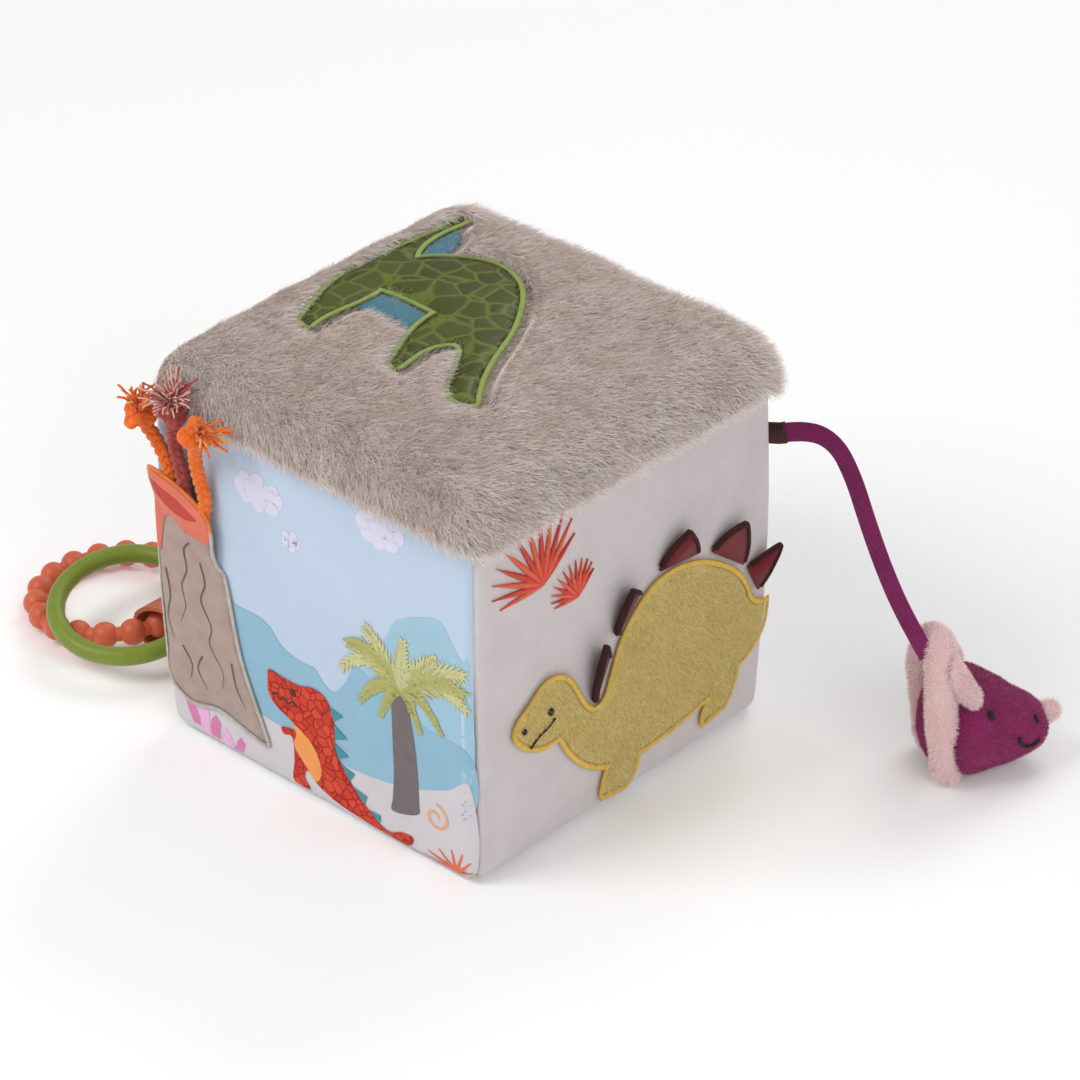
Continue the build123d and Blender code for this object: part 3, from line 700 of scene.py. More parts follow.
DINO_LIFT = 3.4 * MM        # the patches lie on the fur's backing, level with the pile
dino = outer_side("top_dino_body", "top")
dino_loops = loops_of(dino)
lay("green_animal", dino, "top", green_leather, "green_leather", DINO_LIFT, 1.5 * MM, 3 * MM, depth=1 * MM,
    lift=fur_crown, replaced=["top_dino_body"])
lay("green_animal_satin", outer_side("top_dino_satin", "top"), "top", teal_satin, "teal_satin", DINO_LIFT - 0.3 * MM,
    1.0 * MM, 2 * MM, depth=1 * MM, lift=fur_crown, replaced=["top_dino_satin"])
stitch_row("green_animal_stitches", dino_loops, "top", green_thread, "green_thread", ["top_dino_stitching"],
           out=DINO_LIFT + 0.5 * MM, width=2.3 * MM, lift=fur_crown)
print("green animal outline points:", len(dino_loops[0]))

# %% [markdown]
# ## Shaggy fur
# The top cloth is soft deep pile. Each fibre is a narrow blade of three faces, bent over, and
# tens of thousands of them are scattered by geometry nodes. They all lean one way, a slow
# noise combs them into locks, and none grows on a patch.

# %% Fur material and blade
def blade_material(name, root, low, tip, light, spots=70.0):
    """Fibres with painted shade deep in the pile, darkest at the root and lightest at the tip; the blade's own map
    runs from root to tip.
    """
    material, tree, shader, vector = start_material(name)
    uv = tree.nodes.new("ShaderNodeUVMap")
    uv.uv_map = "UVMap"
    parts = tree.nodes.new("ShaderNodeSeparateXYZ")
    tree.links.new(uv.outputs["UV"], parts.inputs[0])
    patches = use(tree, mottle, Vector=vector, Scale=spots)
    ends = mixed(tree, patches.outputs["Mask"], linear(*tip), linear(*light))
    # Painted shade: each fibre runs from the root colour through the low colour to the tips, so the pile is dark deep
    # down and light on top.
    shade = mixed(tree, maths(tree, "POWER", parts.outputs["Y"], 0.7), linear(*low), ends)
    tree.links.new(mixed(tree, stretch(tree, parts.outputs["Y"], 0.0, 0.25), linear(*root), shade),
                   shader.inputs["Base Color"])
    shader.inputs["Roughness"].default_value = 0.75
    shader.inputs["Sheen Weight"].default_value = 0.5
    return material


def blade(name, length, width, bend, material, steps=3):
    """A narrow tapered strip that stands along Z and bends towards Y, with a map along it."""
    bm = bmesh.new()
    bmesh.ops.create_grid(bm, x_segments=1, y_segments=steps, size=0.5)
    uv = bm.loops.layers.uv.new("UVMap")
    for f in bm.faces:
        for loop in f.loops:
            loop[uv].uv = (loop.vert.co.x + 0.5, loop.vert.co.y + 0.5)
    for vert in bm.verts:
        share = vert.co.y + 0.5
        turn = bend * share
        reach = length * (sin(turn) / bend if bend else share)
        over = length * ((1 - cos(turn)) / bend if bend else 0)
        vert.co = (vert.co.x * width * (1 - 0.75 * share), over, reach)
    piece = keep(name, bm, material)
    piece.hide_render = True
    return piece


def pile_tree(name, blade_object, per_metre, seed, comb, lean, jitter, small, large):
    """A geometry node tree that scatters blades on a mesh where its fur value is 1."""
    tree = bpy.data.node_groups.new(name, "GeometryNodeTree")
    tree.interface.new_socket("Geometry", in_out="INPUT", socket_type="NodeSocketGeometry")
    tree.interface.new_socket("Geometry", in_out="OUTPUT", socket_type="NodeSocketGeometry")
    new, link = tree.nodes.new, tree.links.new
    start, end = new("NodeGroupInput"), new("NodeGroupOutput")
    grows = new("GeometryNodeInputNamedAttribute")
    grows.data_type = "FLOAT"
    grows.inputs["Name"].default_value = "fur"
    density = new("ShaderNodeMath")
    density.operation = "MULTIPLY"
    link(grows.outputs["Attribute"], density.inputs[0])
    density.inputs[1].default_value = per_metre
    scatter = new("GeometryNodeDistributePointsOnFaces")
    link(start.outputs[0], scatter.inputs["Mesh"])
    link(density.outputs[0], scatter.inputs["Density"])
    scatter.inputs["Seed"].default_value = seed
    slow = new("ShaderNodeTexNoise")
    place = new("GeometryNodeInputPosition")
    link(place.outputs[0], slow.inputs["Vector"])
    slow.inputs["Scale"].default_value = 75.0
    slow.inputs["Detail"].default_value = 2.0
    centred = new("ShaderNodeVectorMath")
    centred.operation = "SUBTRACT"
    link(slow.outputs["Color"], centred.inputs[0])
    centred.inputs[1].default_value = [0.5 - v for v in lean]
    leaned = new("ShaderNodeVectorMath")
    leaned.operation = "MULTIPLY_ADD"
    link(centred.outputs[0], leaned.inputs[0])
    leaned.inputs[1].default_value = (comb, comb, comb)
    link(scatter.outputs["Normal"], leaned.inputs[2])
    shaken = new("FunctionNodeRandomValue")
    shaken.data_type = "FLOAT_VECTOR"
    shaken.inputs["Min"].default_value = (-jitter, -jitter, -jitter)
    shaken.inputs["Max"].default_value = (jitter, jitter, jitter)
    shaken.inputs["Seed"].default_value = seed + 11
    way = new("ShaderNodeVectorMath")
    way.operation = "ADD"
    link(leaned.outputs[0], way.inputs[0])
    link(shaken.outputs[0], way.inputs[1])
    aligned = new("FunctionNodeAlignRotationToVector")
    aligned.axis = "Z"
    link(way.outputs[0], aligned.inputs["Vector"])
    spin = new("FunctionNodeRandomValue")
    spin.inputs[3].default_value = 6.283
    spin.inputs["Seed"].default_value = seed + 23
    turned = new("FunctionNodeAxisAngleToRotation")
    turned.inputs["Axis"].default_value = (0, 0, 1)
    link(spin.outputs[1], turned.inputs["Angle"])
    rotated = new("FunctionNodeRotateRotation")
    rotated.rotation_space = "LOCAL"
    link(aligned.outputs[0], rotated.inputs[0])
    link(turned.outputs[0], rotated.inputs[1])
    size = new("FunctionNodeRandomValue")
    size.inputs[2].default_value = small
    size.inputs[3].default_value = large
    size.inputs["Seed"].default_value = seed + 37
    source = new("GeometryNodeObjectInfo")
    source.inputs["Object"].default_value = blade_object
    plant = new("GeometryNodeInstanceOnPoints")
    link(scatter.outputs["Points"], plant.inputs["Points"])
    link(source.outputs["Geometry"], plant.inputs["Instance"])
    link(rotated.outputs[0], plant.inputs["Rotation"])
    link(size.outputs[1], plant.inputs["Scale"])
    real = new("GeometryNodeRealizeInstances")
    link(plant.outputs[0], real.inputs[0])
    link(real.outputs[0], end.inputs[0])
    return tree


def grow(name, ground, blade_object, per_metre, body, slot, seed=1, comb=1.0, lean=(0, 0, 0), jitter=0.4,
         small=0.7, large=1.15):
    """Fibres on a ground mesh, as a piece of real blades."""
    mesh = ground.data.copy()
    carrier = bpy.data.objects.new(name, mesh)
    bpy.context.scene.collection.objects.link(carrier)
    modifier = carrier.modifiers.new("pile", "NODES")
    modifier.node_group = pile_tree(name, blade_object, per_metre, seed, comb, lean, jitter, small, large)
    applied(carrier)
    print(name, len(carrier.data.polygons), "blade faces")
    return goes(carrier, body, slot)


def mark_fur(mesh, wanted):
    """Stores 1 where fur grows and 0 elsewhere, for each point of a mesh."""
    values = mesh.attributes.new("fur", "FLOAT", "POINT")
    for vert in mesh.vertices:
        values.data[vert.index].value = float(wanted(vert.co))


# The root and low colours are painted shade deep in the fur's pile; the tip and light colours vary at random.
fur_fibre = blade_material("fur fibre", (196, 178, 168), (222, 206, 197), (234, 221, 214), (246, 238, 233))
fur_back = cloth("fur mass", (206, 190, 181), (226, 211, 203), scale=420.0, spots=45.0, sheen=0.5)

# %% [markdown]
# The pile is so dense that it reads as a soft mass with a silky surface. So a padded shell is
# laid over the panel first, high in the middle, rolled well over the seams and pressed down
# beside the patches. The fibres grow from this shell and only give it its nap.

# %% Fur mass
FUR_RISE = 5.2 * MM
FUR_ROLL = 14.0 * MM
FUR_OVER = 3.2 * MM         # how far the mass stands out past the side faces
FUR_TURN = 1.75             # the roll's last angle, a little past straight down
shapes = [BVHTree.FromPolygons([v.co for v in nodes[n].data.vertices], [p.vertices for p in nodes[n].data.polygons])
          for n in ("top_dino_body", "top_dino_satin", "top_dino_stitching")]


def animal_distance(a, b):
    """Flat distance from a point of the top face to the green animal and its satin."""
    place = Vector((a, b, HEIGHT + 0.5 * MM))
    return min(shape.find_nearest(place)[3] for shape in shapes)


def fur_place(a, b):
    """A point of the fur's mass from cloth distances that run past the seam."""
    flat = HALF + FUR_OVER - FUR_ROLL
    da, db = max(0.0, abs(a) - flat), max(0.0, abs(b) - flat)
    reach = max(da, db)
    angle = reach / FUR_ROLL
    long = hypot(da, db) or 1.0
    corner = min(da, db) / (FUR_ROLL * FUR_TURN)
    x = (min(abs(a), flat) + FUR_ROLL * sin(angle) * da / long) * (1 if a > 0 else -1)
    y = (min(abs(b), flat) + FUR_ROLL * sin(angle) * db / long) * (1 if b > 0 else -1)
    drop = FUR_ROLL * (1 - cos(angle)) + 3.0 * MM * corner
    near = animal_distance(a, b) if reach == 0 else 1.0
    pressed = FUR_RISE * exp(-(max(0.0, near - 0.6 * MM) / (2.6 * MM)) ** 2) * 0.9
    crown = fur_crown(a, b)
    lumps = (noise.noise(Vector((a, b, 0.3)) * 55) * 1.1 + noise.noise(Vector((a, b, 0.9)) * 140) * 0.5) * MM
    soft = soften(Vector((x, y, HEIGHT)))
    return soft + Vector((0, 0, FUR_RISE - drop - pressed + crown + lumps * (1 if near > 2 * MM else 0.3)))


top = panel("cover_top_fur_panel", "top", fur_back, "fur", cells=48)
bm = bmesh.new()
span = HALF + FUR_OVER - FUR_ROLL + FUR_ROLL * FUR_TURN
bmesh.ops.create_grid(bm, x_segments=180, y_segments=180, size=span)
for vert in bm.verts:
    vert.co = fur_place(vert.co.x, vert.co.y)
fur_mass = goes(keep("fur_mass", bm, fur_back), "block", "fur")
print("fur mass from", [round(v, 4) for v in min((v.co for v in fur_mass.data.vertices), key=lambda c: c.z)])

# %% Fibres on the fur
FUR_LENGTH = 6.5 * MM
fur_blade = blade("fur_blade", FUR_LENGTH, 0.30 * MM, 0.7, fur_fibre)
mark_fur(fur_mass.data, lambda p: animal_distance(p.x / swell(HEIGHT), p.y / swell(HEIGHT)) > 0.4 * MM
         or p.z < HEIGHT - 3 * MM)
for i in range(6):
    grow(f"fur_pile_{i + 1}", fur_mass, fur_blade, 1.1e6, "block", "fur", seed=5 + i, comb=0.9,
         lean=(2.1, -0.25, -0.35), jitter=0.16)

# %% [markdown]
# ## Volcano patch and printed scene
# The front panel is printed cotton: sky, clouds, hills, a red animal, a palm and crystals. The
# volcano is a separate padded patch whose upper edge stands open like a pocket, because the
# three rope ends come out from behind it. Print is laid as very thin shapes, each a hair above
# the one before it.

# %% Print colours


def ink(name, dark, light=None, spots=90.0):
    """Printed cotton in one colour."""
    light = light or [min(255, v + 12) for v in dark]
    return cloth(name, dark, light, "weave", 2200.0, "front", rough=0.85, sheen=0.1, bump=0.18, spots=spots)


volcano_cloth = ink("volcano print", (148, 126, 118), (182, 160, 150), 140.0)
lava_ink = ink("lava print", (204, 92, 70), (224, 122, 98))
crater_ink = ink("crater print", (172, 44, 38), (196, 66, 54))
crack_ink = ink("crack print", (88, 66, 60), (108, 84, 76))
cloud_ink = ink("cloud print", (206, 204, 226), (220, 218, 236), 60.0)
far_ink = ink("far hill print", (146, 186, 206), (164, 200, 216), 70.0)
near_ink = ink("near hill print", (128, 172, 196), (148, 188, 208), 70.0)
sand_ink = ink("sand print", (196, 190, 194), (214, 208, 212), 80.0)
trunk_ink = ink("trunk print", (96, 86, 88), (118, 106, 106), 240.0)
frond_ink = ink("frond print", (160, 160, 84), (186, 182, 112), 200.0)
pale_frond_ink = ink("pale frond print", (190, 186, 126), (208, 204, 152), 200.0)
belly_ink = ink("belly print", (232, 138, 60), (242, 164, 86))
spike_ink = ink("spike print", (38, 124, 144), (62, 148, 164))
dark_ink = ink("dark print", (52, 24, 22), (66, 34, 30))
pink_ink = ink("pink crystal print", (196, 98, 156), (220, 134, 180), 220.0)
lilac_ink = ink("lilac crystal print", (224, 160, 204), (236, 184, 218), 220.0)
fern_ink = ink("fern print", (222, 84, 44), (236, 110, 70))
shell_ink = ink("shell print", (214, 150, 108), (230, 176, 136))
red_print = scaled("red scaled print", (150, 34, 24), (196, 52, 34), (216, 76, 52), 260.0, "front", 0.85, 0.12)
PRINT_STEP = 0.07 * MM


def printed(name, flats, material, level, on_patch=False, face="front", slot="print_cloth"):
    """Printed shapes of one colour; a higher level lies above a lower one."""
    rise = (PATCH_RISE + PATCH_SWELL + 0.2 * MM if on_patch else 0.05 * MM) + PRINT_STEP * level
    return lay(name, joined(flats), face, material, slot, rise, cell=4 * MM, depth=-rise + PRINT_STEP * 0.6,
               lift=pocket if on_patch else None)


# %% Volcano
PATCH_RISE = 0.5 * MM
PATCH_SWELL = 0.9 * MM
POCKET = 5.0 * MM


def pocket(a, b):
    """How far the crater's upper edge stands off the panel."""
    below = 97 * MM + 0.52 * (-43 * MM - a) - (b + HEIGHT / 2)
    rim = exp(-(max(0.0, below) / (12 * MM)) ** 4)
    return POCKET * rim * max(0.0, 1 - ((a + 57 * MM) / (17.5 * MM)) ** 4)


volcano = outer_side("volcano_patch", "front")
volcano_loops = loops_of(volcano)
lay("volcano", volcano, "front", volcano_cloth, "volcano_cloth", PATCH_RISE, PATCH_SWELL, 0.8 * MM, cell=2 * MM,
    lift=pocket, replaced=["volcano_patch"])
LAVA_LINE = 97 * MM - HEIGHT / 2
stitch_row("volcano_stitches_orange", volcano_loops, "front", orange_thread, "orange_thread",
           ["volcano_stitching_orange"], wanted=lambda p: p.y > LAVA_LINE, lift=pocket, width=2.3 * MM)
stitch_row("volcano_stitches_silver", volcano_loops, "front", silver_thread, "silver_thread",
           ["volcano_stitching_silver"], wanted=lambda p: p.y <= LAVA_LINE, lift=pocket)
lava = [(-73.0, 106.5), (-71.5, 110.8), (-62, 111.3), (-51, 108.4), (-44.6, 103.6), (-42.6, 98), (-42.4, 92),
        (-45, 93), (-48, 93.4), (-51, 94), (-53, 93), (-56, 90), (-59, 94), (-63, 95), (-67, 91), (-69, 81),
        (-70.2, 76.4), (-71.5, 76), (-72.6, 79), (-73.2, 86), (-73.6, 92)]
printed("lava", [drawn(lava)], lava_ink, 1, True, slot="volcano_cloth")
crater = [(-69.5, 107.6), (-62, 107.2), (-54, 105.4), (-46.5, 101.2), (-50, 99.8), (-57, 100.2), (-64, 103)]
printed("crater", [drawn(crater)], crater_ink, 2, True, slot="volcano_cloth")
cracks = [[(-55, 86), (-58, 82), (-57, 74), (-60, 66), (-58.6, 58), (-62, 50)],
          [(-50, 80), (-48, 72), (-50.5, 64), (-46, 55), (-47.5, 47), (-42, 38), (-43, 30)],
          [(-68, 70), (-66.4, 60), (-68.4, 50), (-66, 41)], [(-62, 40), (-58, 34), (-59.5, 27)],
          [(-52, 40), (-55, 33), (-51, 26)], [(-37, 44), (-35.6, 34), (-32, 27)]]
printed("volcano_cracks", [band(line, 0.7, taper=True) for line in cracks], crack_ink, 1, True, slot="volcano_cloth")
print("volcano with", len(cracks), "cracks")

# %% Sky, hills and sand


def disc(x, z, wide, tall=None):
    """A round printed shape."""
    tall = tall or wide
    return drawn([(x + wide / 2 * cos(pi * i / 5), z + tall / 2 * sin(pi * i / 5)) for i in range(10)])


def cloud(x, z, wide, tall, puffs=7, seed=1):
    """A printed cloud: an oval with round puffs along its edge."""
    rand = random.Random(seed)
    shapes = [disc(x, z, wide * 0.72, tall * 0.7)]
    for i in range(puffs):
        turn = 2 * pi * (i + rand.uniform(-0.15, 0.15)) / puffs
        size = rand.uniform(0.36, 0.5) * tall
        shapes.append(disc(x + (wide / 2 - size / 2) * cos(turn), z + (tall / 2 - size / 2) * sin(turn), size))
    return shapes


printed("clouds", cloud(-22, 120, 23, 15, 8, 2) + cloud(-7, 107.5, 9, 9, 5, 3) + cloud(34, 130, 22, 17, 8, 4), cloud_ink, 1)
far_hill = [(20, 66), (28, 74), (36, 88), (41, 97), (53, 104), (61, 105), (66, 98), (70, 93), (73, 92), (73, 44),
            (46, 30), (20, 40)]
printed("far_hills", [drawn(far_hill)], far_ink, 1)
near_hill = [(-40, 70), (-34, 69.5), (-20, 69), (-12, 62), (-4, 60), (3, 60), (8, 55), (13, 55), (18, 62), (23, 70),
             (34, 66), (52, 60), (73, 56), (73, 30), (40, 24), (-20, 22), (-38, 30)]
printed("near_hills", [drawn(near_hill)], near_ink, 2)
sand = [(-73, 1.5), (-73, 26), (-48, 27), (-25, 27), (3, 24.5), (16, 24.5), (31, 26.5), (48, 31), (62, 37), (73, 42),
        (73, 1.5), (30, 1.2), (-30, 1.2)]
printed("sand", [drawn(sand)], sand_ink, 3)

# %% Palm
trunk = [(39, 64), (42, 69), (45, 68), (47.4, 58), (49, 44), (49.6, 26), (48.5, 20), (37, 16), (37.4, 22), (38.5, 34),
         (38.6, 50)]
printed("palm_trunk", [drawn(trunk)], trunk_ink, 4)
CROWN = (43.0, 69.0)


def frond(tip, rise, seed):
    """A printed palm leaf: a bowed rib with slim leaflets that hang from both sides."""
    rand = random.Random(seed)
    (x0, z0), (x1, z1) = CROWN, tip
    ahead = Vector((x1 - x0, z1 - z0))
    length = ahead.length
    places = []
    for i in range(13):
        share = i / 12
        places.append(Vector((x0 + (x1 - x0) * share, z0 + (z1 - z0) * share + rise * 4 * share * (1 - share))))
    shapes = [band([tuple(p) for p in places[::3]], 1.5, taper=True)]
    for i in range(2, 13):
        along = (places[i] - places[i - 1]).normalized()
        for side in (1, -1):
            out = (along * 1.1 + Vector((-along.y, along.x)) * side * 0.8 + Vector((0, -0.35))).normalized()
            reach = length * 0.30 * (1.15 - 0.75 * i / 12) * rand.uniform(0.85, 1.15)
            end = places[i] + out * reach
            middle = places[i] + out * reach * 0.5 + Vector((0, 0.25))
            shapes.append(band([tuple(places[i] - along * 0.8), tuple(middle), tuple(end)], 1.7, taper=True))
    return shapes


back_fronds = [((28, 88), 2), ((58, 89), 2), ((70, 88), 4), ((17, 68), 8), ((71, 75), 7), ((44, 90), 0)]
front_fronds = [((20, 79), 5), ((70, 81), 5), ((25, 58), 5), ((60, 61), 5), ((34, 56), 3), ((51, 57), 3)]
printed("palm_leaves_back", [leaf for i, f in enumerate(back_fronds) for leaf in frond(*f, i)], pale_frond_ink, 5)
printed("palm_leaves_front", [leaf for i, f in enumerate(front_fronds) for leaf in frond(*f, 20 + i)], frond_ink, 6)

# %% Red printed animal
beast = [(-20, 46), (-19, 50), (-13, 49.5), (-5, 49.5), (1, 51.5), (7, 50.5), (10.5, 45), (11.5, 38), (11, 29),
         (15, 22), (20, 15), (28, 8), (34, 4.6), (40, 8), (46, 8.6), (45, 4.4), (41, 1.4), (34, 1.4), (23, 3), (11, 5),
         (1, 8.5), (-4, 13), (-6, 9), (-4, 4), (-10, 3.4), (-12, 6), (-10.5, 14), (-10, 22), (-11, 25), (-14.5, 24),
         (-15.5, 26.5), (-11, 28), (-8, 28.5), (-10, 32), (-16, 34.5), (-20, 39)]
printed("red_beast", [drawn(beast)], red_print, 7)
belly = [(-9.5, 31), (-4, 29), (1, 24), (3, 16), (0, 10), (-4, 14), (-9.6, 21), (-8, 27)]
printed("beast_belly", [drawn(belly)], belly_ink, 8)
spikes = [drawn([(8.6, 47.6 - 0.2), (16, 46), (11.4, 42)], True), drawn([(11.2, 40.6), (17.4, 37), (11.4, 34)], True),
          drawn([(11, 32.4), (17.4, 29.4), (12.4, 26)], True), drawn([(13.6, 24.4), (20, 23), (17, 18.6)], True),
          drawn([(18.6, 17), (25, 16), (23.4, 11.6)], True), drawn([(25.4, 10.4), (31, 10.6), (30.4, 7)], True)]
printed("beast_spikes", spikes, spike_ink, 6.5)
eye_ring = [(-8 + 1.5 * cos(t), 45 + 1.7 * sin(t)) for t in (0, 1.05, 2.1, 3.14, 4.2, 5.24)]
mouth = [(-18.6, 39.6), (-16.4, 41), (-14.6, 39), (-12.6, 41), (-10.6, 39), (-8.6, 41), (-6.4, 39.4)]
mouth_line = drawn([(x, z + 0.5) for x, z in mouth] + [(x, z - 0.5) for x, z in mouth[::-1]], True)
printed("beast_eye_and_mouth", [drawn(eye_ring), mouth_line], dark_ink, 9)

# %% Crystals, shell and fern print


def crystal(x, z, tall, wide, lean):
    """A printed crystal: a slim six-sided prism."""
    top = (x + lean * tall, z + tall)
    side = (wide / 2, -lean * wide / 2)
    return drawn([(x - side[0], z), (x + side[0], z), (top[0] + side[0], top[1] - wide * 0.6), top,
                  (top[0] - side[0], top[1] - wide * 0.6)], True)


printed("crystals_pink", [crystal(-60, 6, 12, 5, -0.25), crystal(-52, 4, 11, 5, 0.2), crystal(-40, 3, 8, 4, 0.3)],
        pink_ink, 4)
printed("crystals_lilac", [crystal(-56, 4, 16, 5, 0.02), crystal(-48, 3, 7, 4, 0.45), crystal(-44, 2.5, 9, 4, -0.1)],
        lilac_ink, 5)
whorl = [(57 + (1.2 + 0.62 * t) * cos(t), 23 + (1.2 + 0.62 * t) * sin(t)) for t in [0.6 * i for i in range(14)]]
printed("shell_print", [band(whorl, 1.3)], shell_ink, 5)


def fan(x, z, tips, wide=2.0):
    """A printed fern: tapered leaves from one root."""
    return [band([(x, z), ((x + a) / 2, (z + b) / 2), (a, b)], wide, taper=True) for a, b in tips]


printed("fern_print", fan(66, 3, [(50, 2.4), (53, 6.5), (58, 10), (64, 12.4), (69, 12.6), (73, 10), (74, 5)]), fern_ink, 5)
print("front print laid")

# %% [markdown]
# ## Yellow animal, ferns and felt plates
# The animal on the knit face is short brushed pile with a gold satin border. The ferns are
# embroidery: each petal is a row of threads across its length. The plates are thick felt with
# an overcast edge, and each one moves with its own body.

# %% Yellow animal
stego = outer_side("stego_body", "right")
stego_loops = loops_of(stego)
stego_piece = lay("yellow_animal", stego, "right", yellow_pile, "yellow_pile", 0.8 * MM, 1.6 * MM, 2.5 * MM,
                  cell=2 * MM, replaced=["stego_body"])
rim_tree = KDTree(sum(len(loop) for loop in stego_loops))
for p in (p for loop in stego_loops for p in loop):
    rim_tree.insert((p.x, p.y, 0), 0)
rim_tree.balance()
mark_fur(stego_piece.data, lambda p: rim_tree.find((p.y / swell(p.z), p.z - HEIGHT / 2, 0))[2] > 1.5 * MM)
# The first two colours are painted shade low in the yellow nap; the last two vary at random at the tips.
nap = blade_material("yellow nap", (190, 164, 84), (208, 186, 106), (222, 202, 128), (238, 222, 160), 120.0)
nap_blade = blade("nap_blade", 1.7 * MM, 0.26 * MM, 0.8, nap, 2)
grow("yellow_nap", stego_piece, nap_blade, 3.2e6, "block", "yellow_pile", seed=3, comb=0.5, lean=(0.2, 0.2, -1.3),
     jitter=0.3)
stitch_row("yellow_animal_stitches", stego_loops, "right", gold_thread, "gold_thread", ["stego_stitching"],
           width=2.6 * MM, out=1.6 * MM, shift=0.7 * MM)


def spot(name, face, a, b, out, wide, tall, material, slot, replaced=(), lean=0.0):
    """A small embroidered oval."""
    one = thread(wide, tall, 0.9 * MM)
    bm = bmesh.new()
    bm.from_mesh(one)
    bmesh.ops.subdivide_edges(bm, edges=bm.edges, cuts=1, use_grid_fill=True, smooth=1.0)
    bmesh.ops.rotate(bm, verts=bm.verts, cent=(0, 0, 0), matrix=Matrix.Rotation(lean, 3, "Z"))
    for vert in bm.verts:
        vert.co = on_face(face, a + vert.co.x, b + vert.co.y, out + vert.co.z)
    return goes(keep(name, bm, material), "block", slot, *replaced)


dark_thread = silk("near black thread", (14, 8, 8), (34, 22, 20), 0.8, 0.02)
STEGO_OUT = 3.1 * MM
spot("yellow_animal_eye", "right", -42.6 * MM, -14 * MM, STEGO_OUT, 2.4 * MM, 3.0 * MM, dark_thread, "dark_thread",
     ["stego_face_embroidery"])
spot("yellow_animal_nostril", "right", -54.4 * MM, -16.6 * MM, STEGO_OUT - 0.6 * MM, 2.0 * MM, 2.4 * MM, dark_thread,
     "dark_thread")


def stitched_line(name, face, points, out, material, slot, width=1.0 * MM):
    """A narrow embroidered line through points (a, b) in metres."""
    line = smooth_loop(points, False, 0.6 * MM)
    one = thread(0.7 * MM, width, 0.8 * MM)
    bm = bmesh.new()
    for p, along in walk(line, 0.4 * MM, closed=False):
        mesh = one.copy()
        mesh.transform(Matrix(((along.x, along.y, 0, p.x), (along.y, -along.x, 0, p.y), (0, 0, 1, out), (0, 0, 0, 1))))
        bm.from_mesh(mesh)
        bpy.data.meshes.remove(mesh)
    for vert in bm.verts:
        vert.co = on_face(face, *vert.co)
    bmesh.ops.recalc_face_normals(bm, faces=bm.faces)
    return goes(keep(name, bm, material), "block", slot)


smile = [(-52.0, 50.6), (-48.0, 53.6), (-44.2, 55.0), (-40.4, 57.4)]
stitched_line("yellow_animal_smile", "right", [(y * MM, z * MM - HEIGHT / 2) for y, z in smile], STEGO_OUT - 0.1 * MM,
              dark_thread, "dark_thread")

# %% Embroidered ferns
fern_red = silk("fern red thread", (186, 22, 8), (222, 52, 22))
PETALS = 12


def petal_threads(bm, root, turn, length, wide):
    """A petal as threads across its length, with a pointed tip."""
    steps = ceil(length / (0.5 * MM))
    for i in range(steps):
        share = (i + 0.5) / steps
        across = wide * (sin(pi * min(1.0, share ** 0.8)) ** 0.6 * 0.85 + 0.15) * (1 - share ** 5)
        mesh = thread(0.75 * MM, across, 1.0 * MM)
        mesh.transform(Matrix.Translation((root[0] + cos(turn) * length * share, root[1] + sin(turn) * length * share,
                                           0.45 * MM)) @ Matrix.Rotation(turn + 0.35, 4, "Z"))
        bm.from_mesh(mesh)
        bpy.data.meshes.remove(mesh)


def fern(name, node, root, first, last, short, tall, wide):
    """Two colours of petals that fan out from one root."""
    for colour, material in enumerate((fern_thread, fern_red)):
        bm = bmesh.new()
        for i in range(colour, PETALS, 2):
            share = i / (PETALS - 1)
            length = (short + (tall - short) * sin(pi * share) ** 0.6) * MM
            petal_threads(bm, (root[0] * MM, root[1] * MM - HEIGHT / 2), radians(first + (last - first) * share),
                          length, wide)
        for vert in bm.verts:
            vert.co = on_face("right", *vert.co)
        bmesh.ops.recalc_face_normals(bm, faces=bm.faces)
        goes(keep(f"{name}_{'orange' if colour == 0 else 'red'}", bm, material), "block", "fern_thread",
             *([node] if colour == 0 else []))


fern("fern_large_petals", "fern_large", (-43.5, 111.5), 182, 40, 20, 28, 2.7 * MM)
fern("fern_small_petals", "fern_small", (-27.5, 99.0), 178, 44, 11, 15, 1.9 * MM)
print("ferns:", PETALS, "petals each")

# %% Felt plates


def outer_points(points):
    """The points of a flat set that lie on its outline, in order."""
    points = sorted({(round(p.x, 6), round(p.y, 6)) for p in points})

    def half(row):
        chain = []
        for p in row:
            while len(chain) > 1 and (chain[-1][0] - chain[-2][0]) * (p[1] - chain[-2][1]) <= \
                    (chain[-1][1] - chain[-2][1]) * (p[0] - chain[-2][0]):
                chain.pop()
            chain.append(p)
        return chain[:-1]
    return [Vector(p) for p in half(points) + half(points[::-1])]


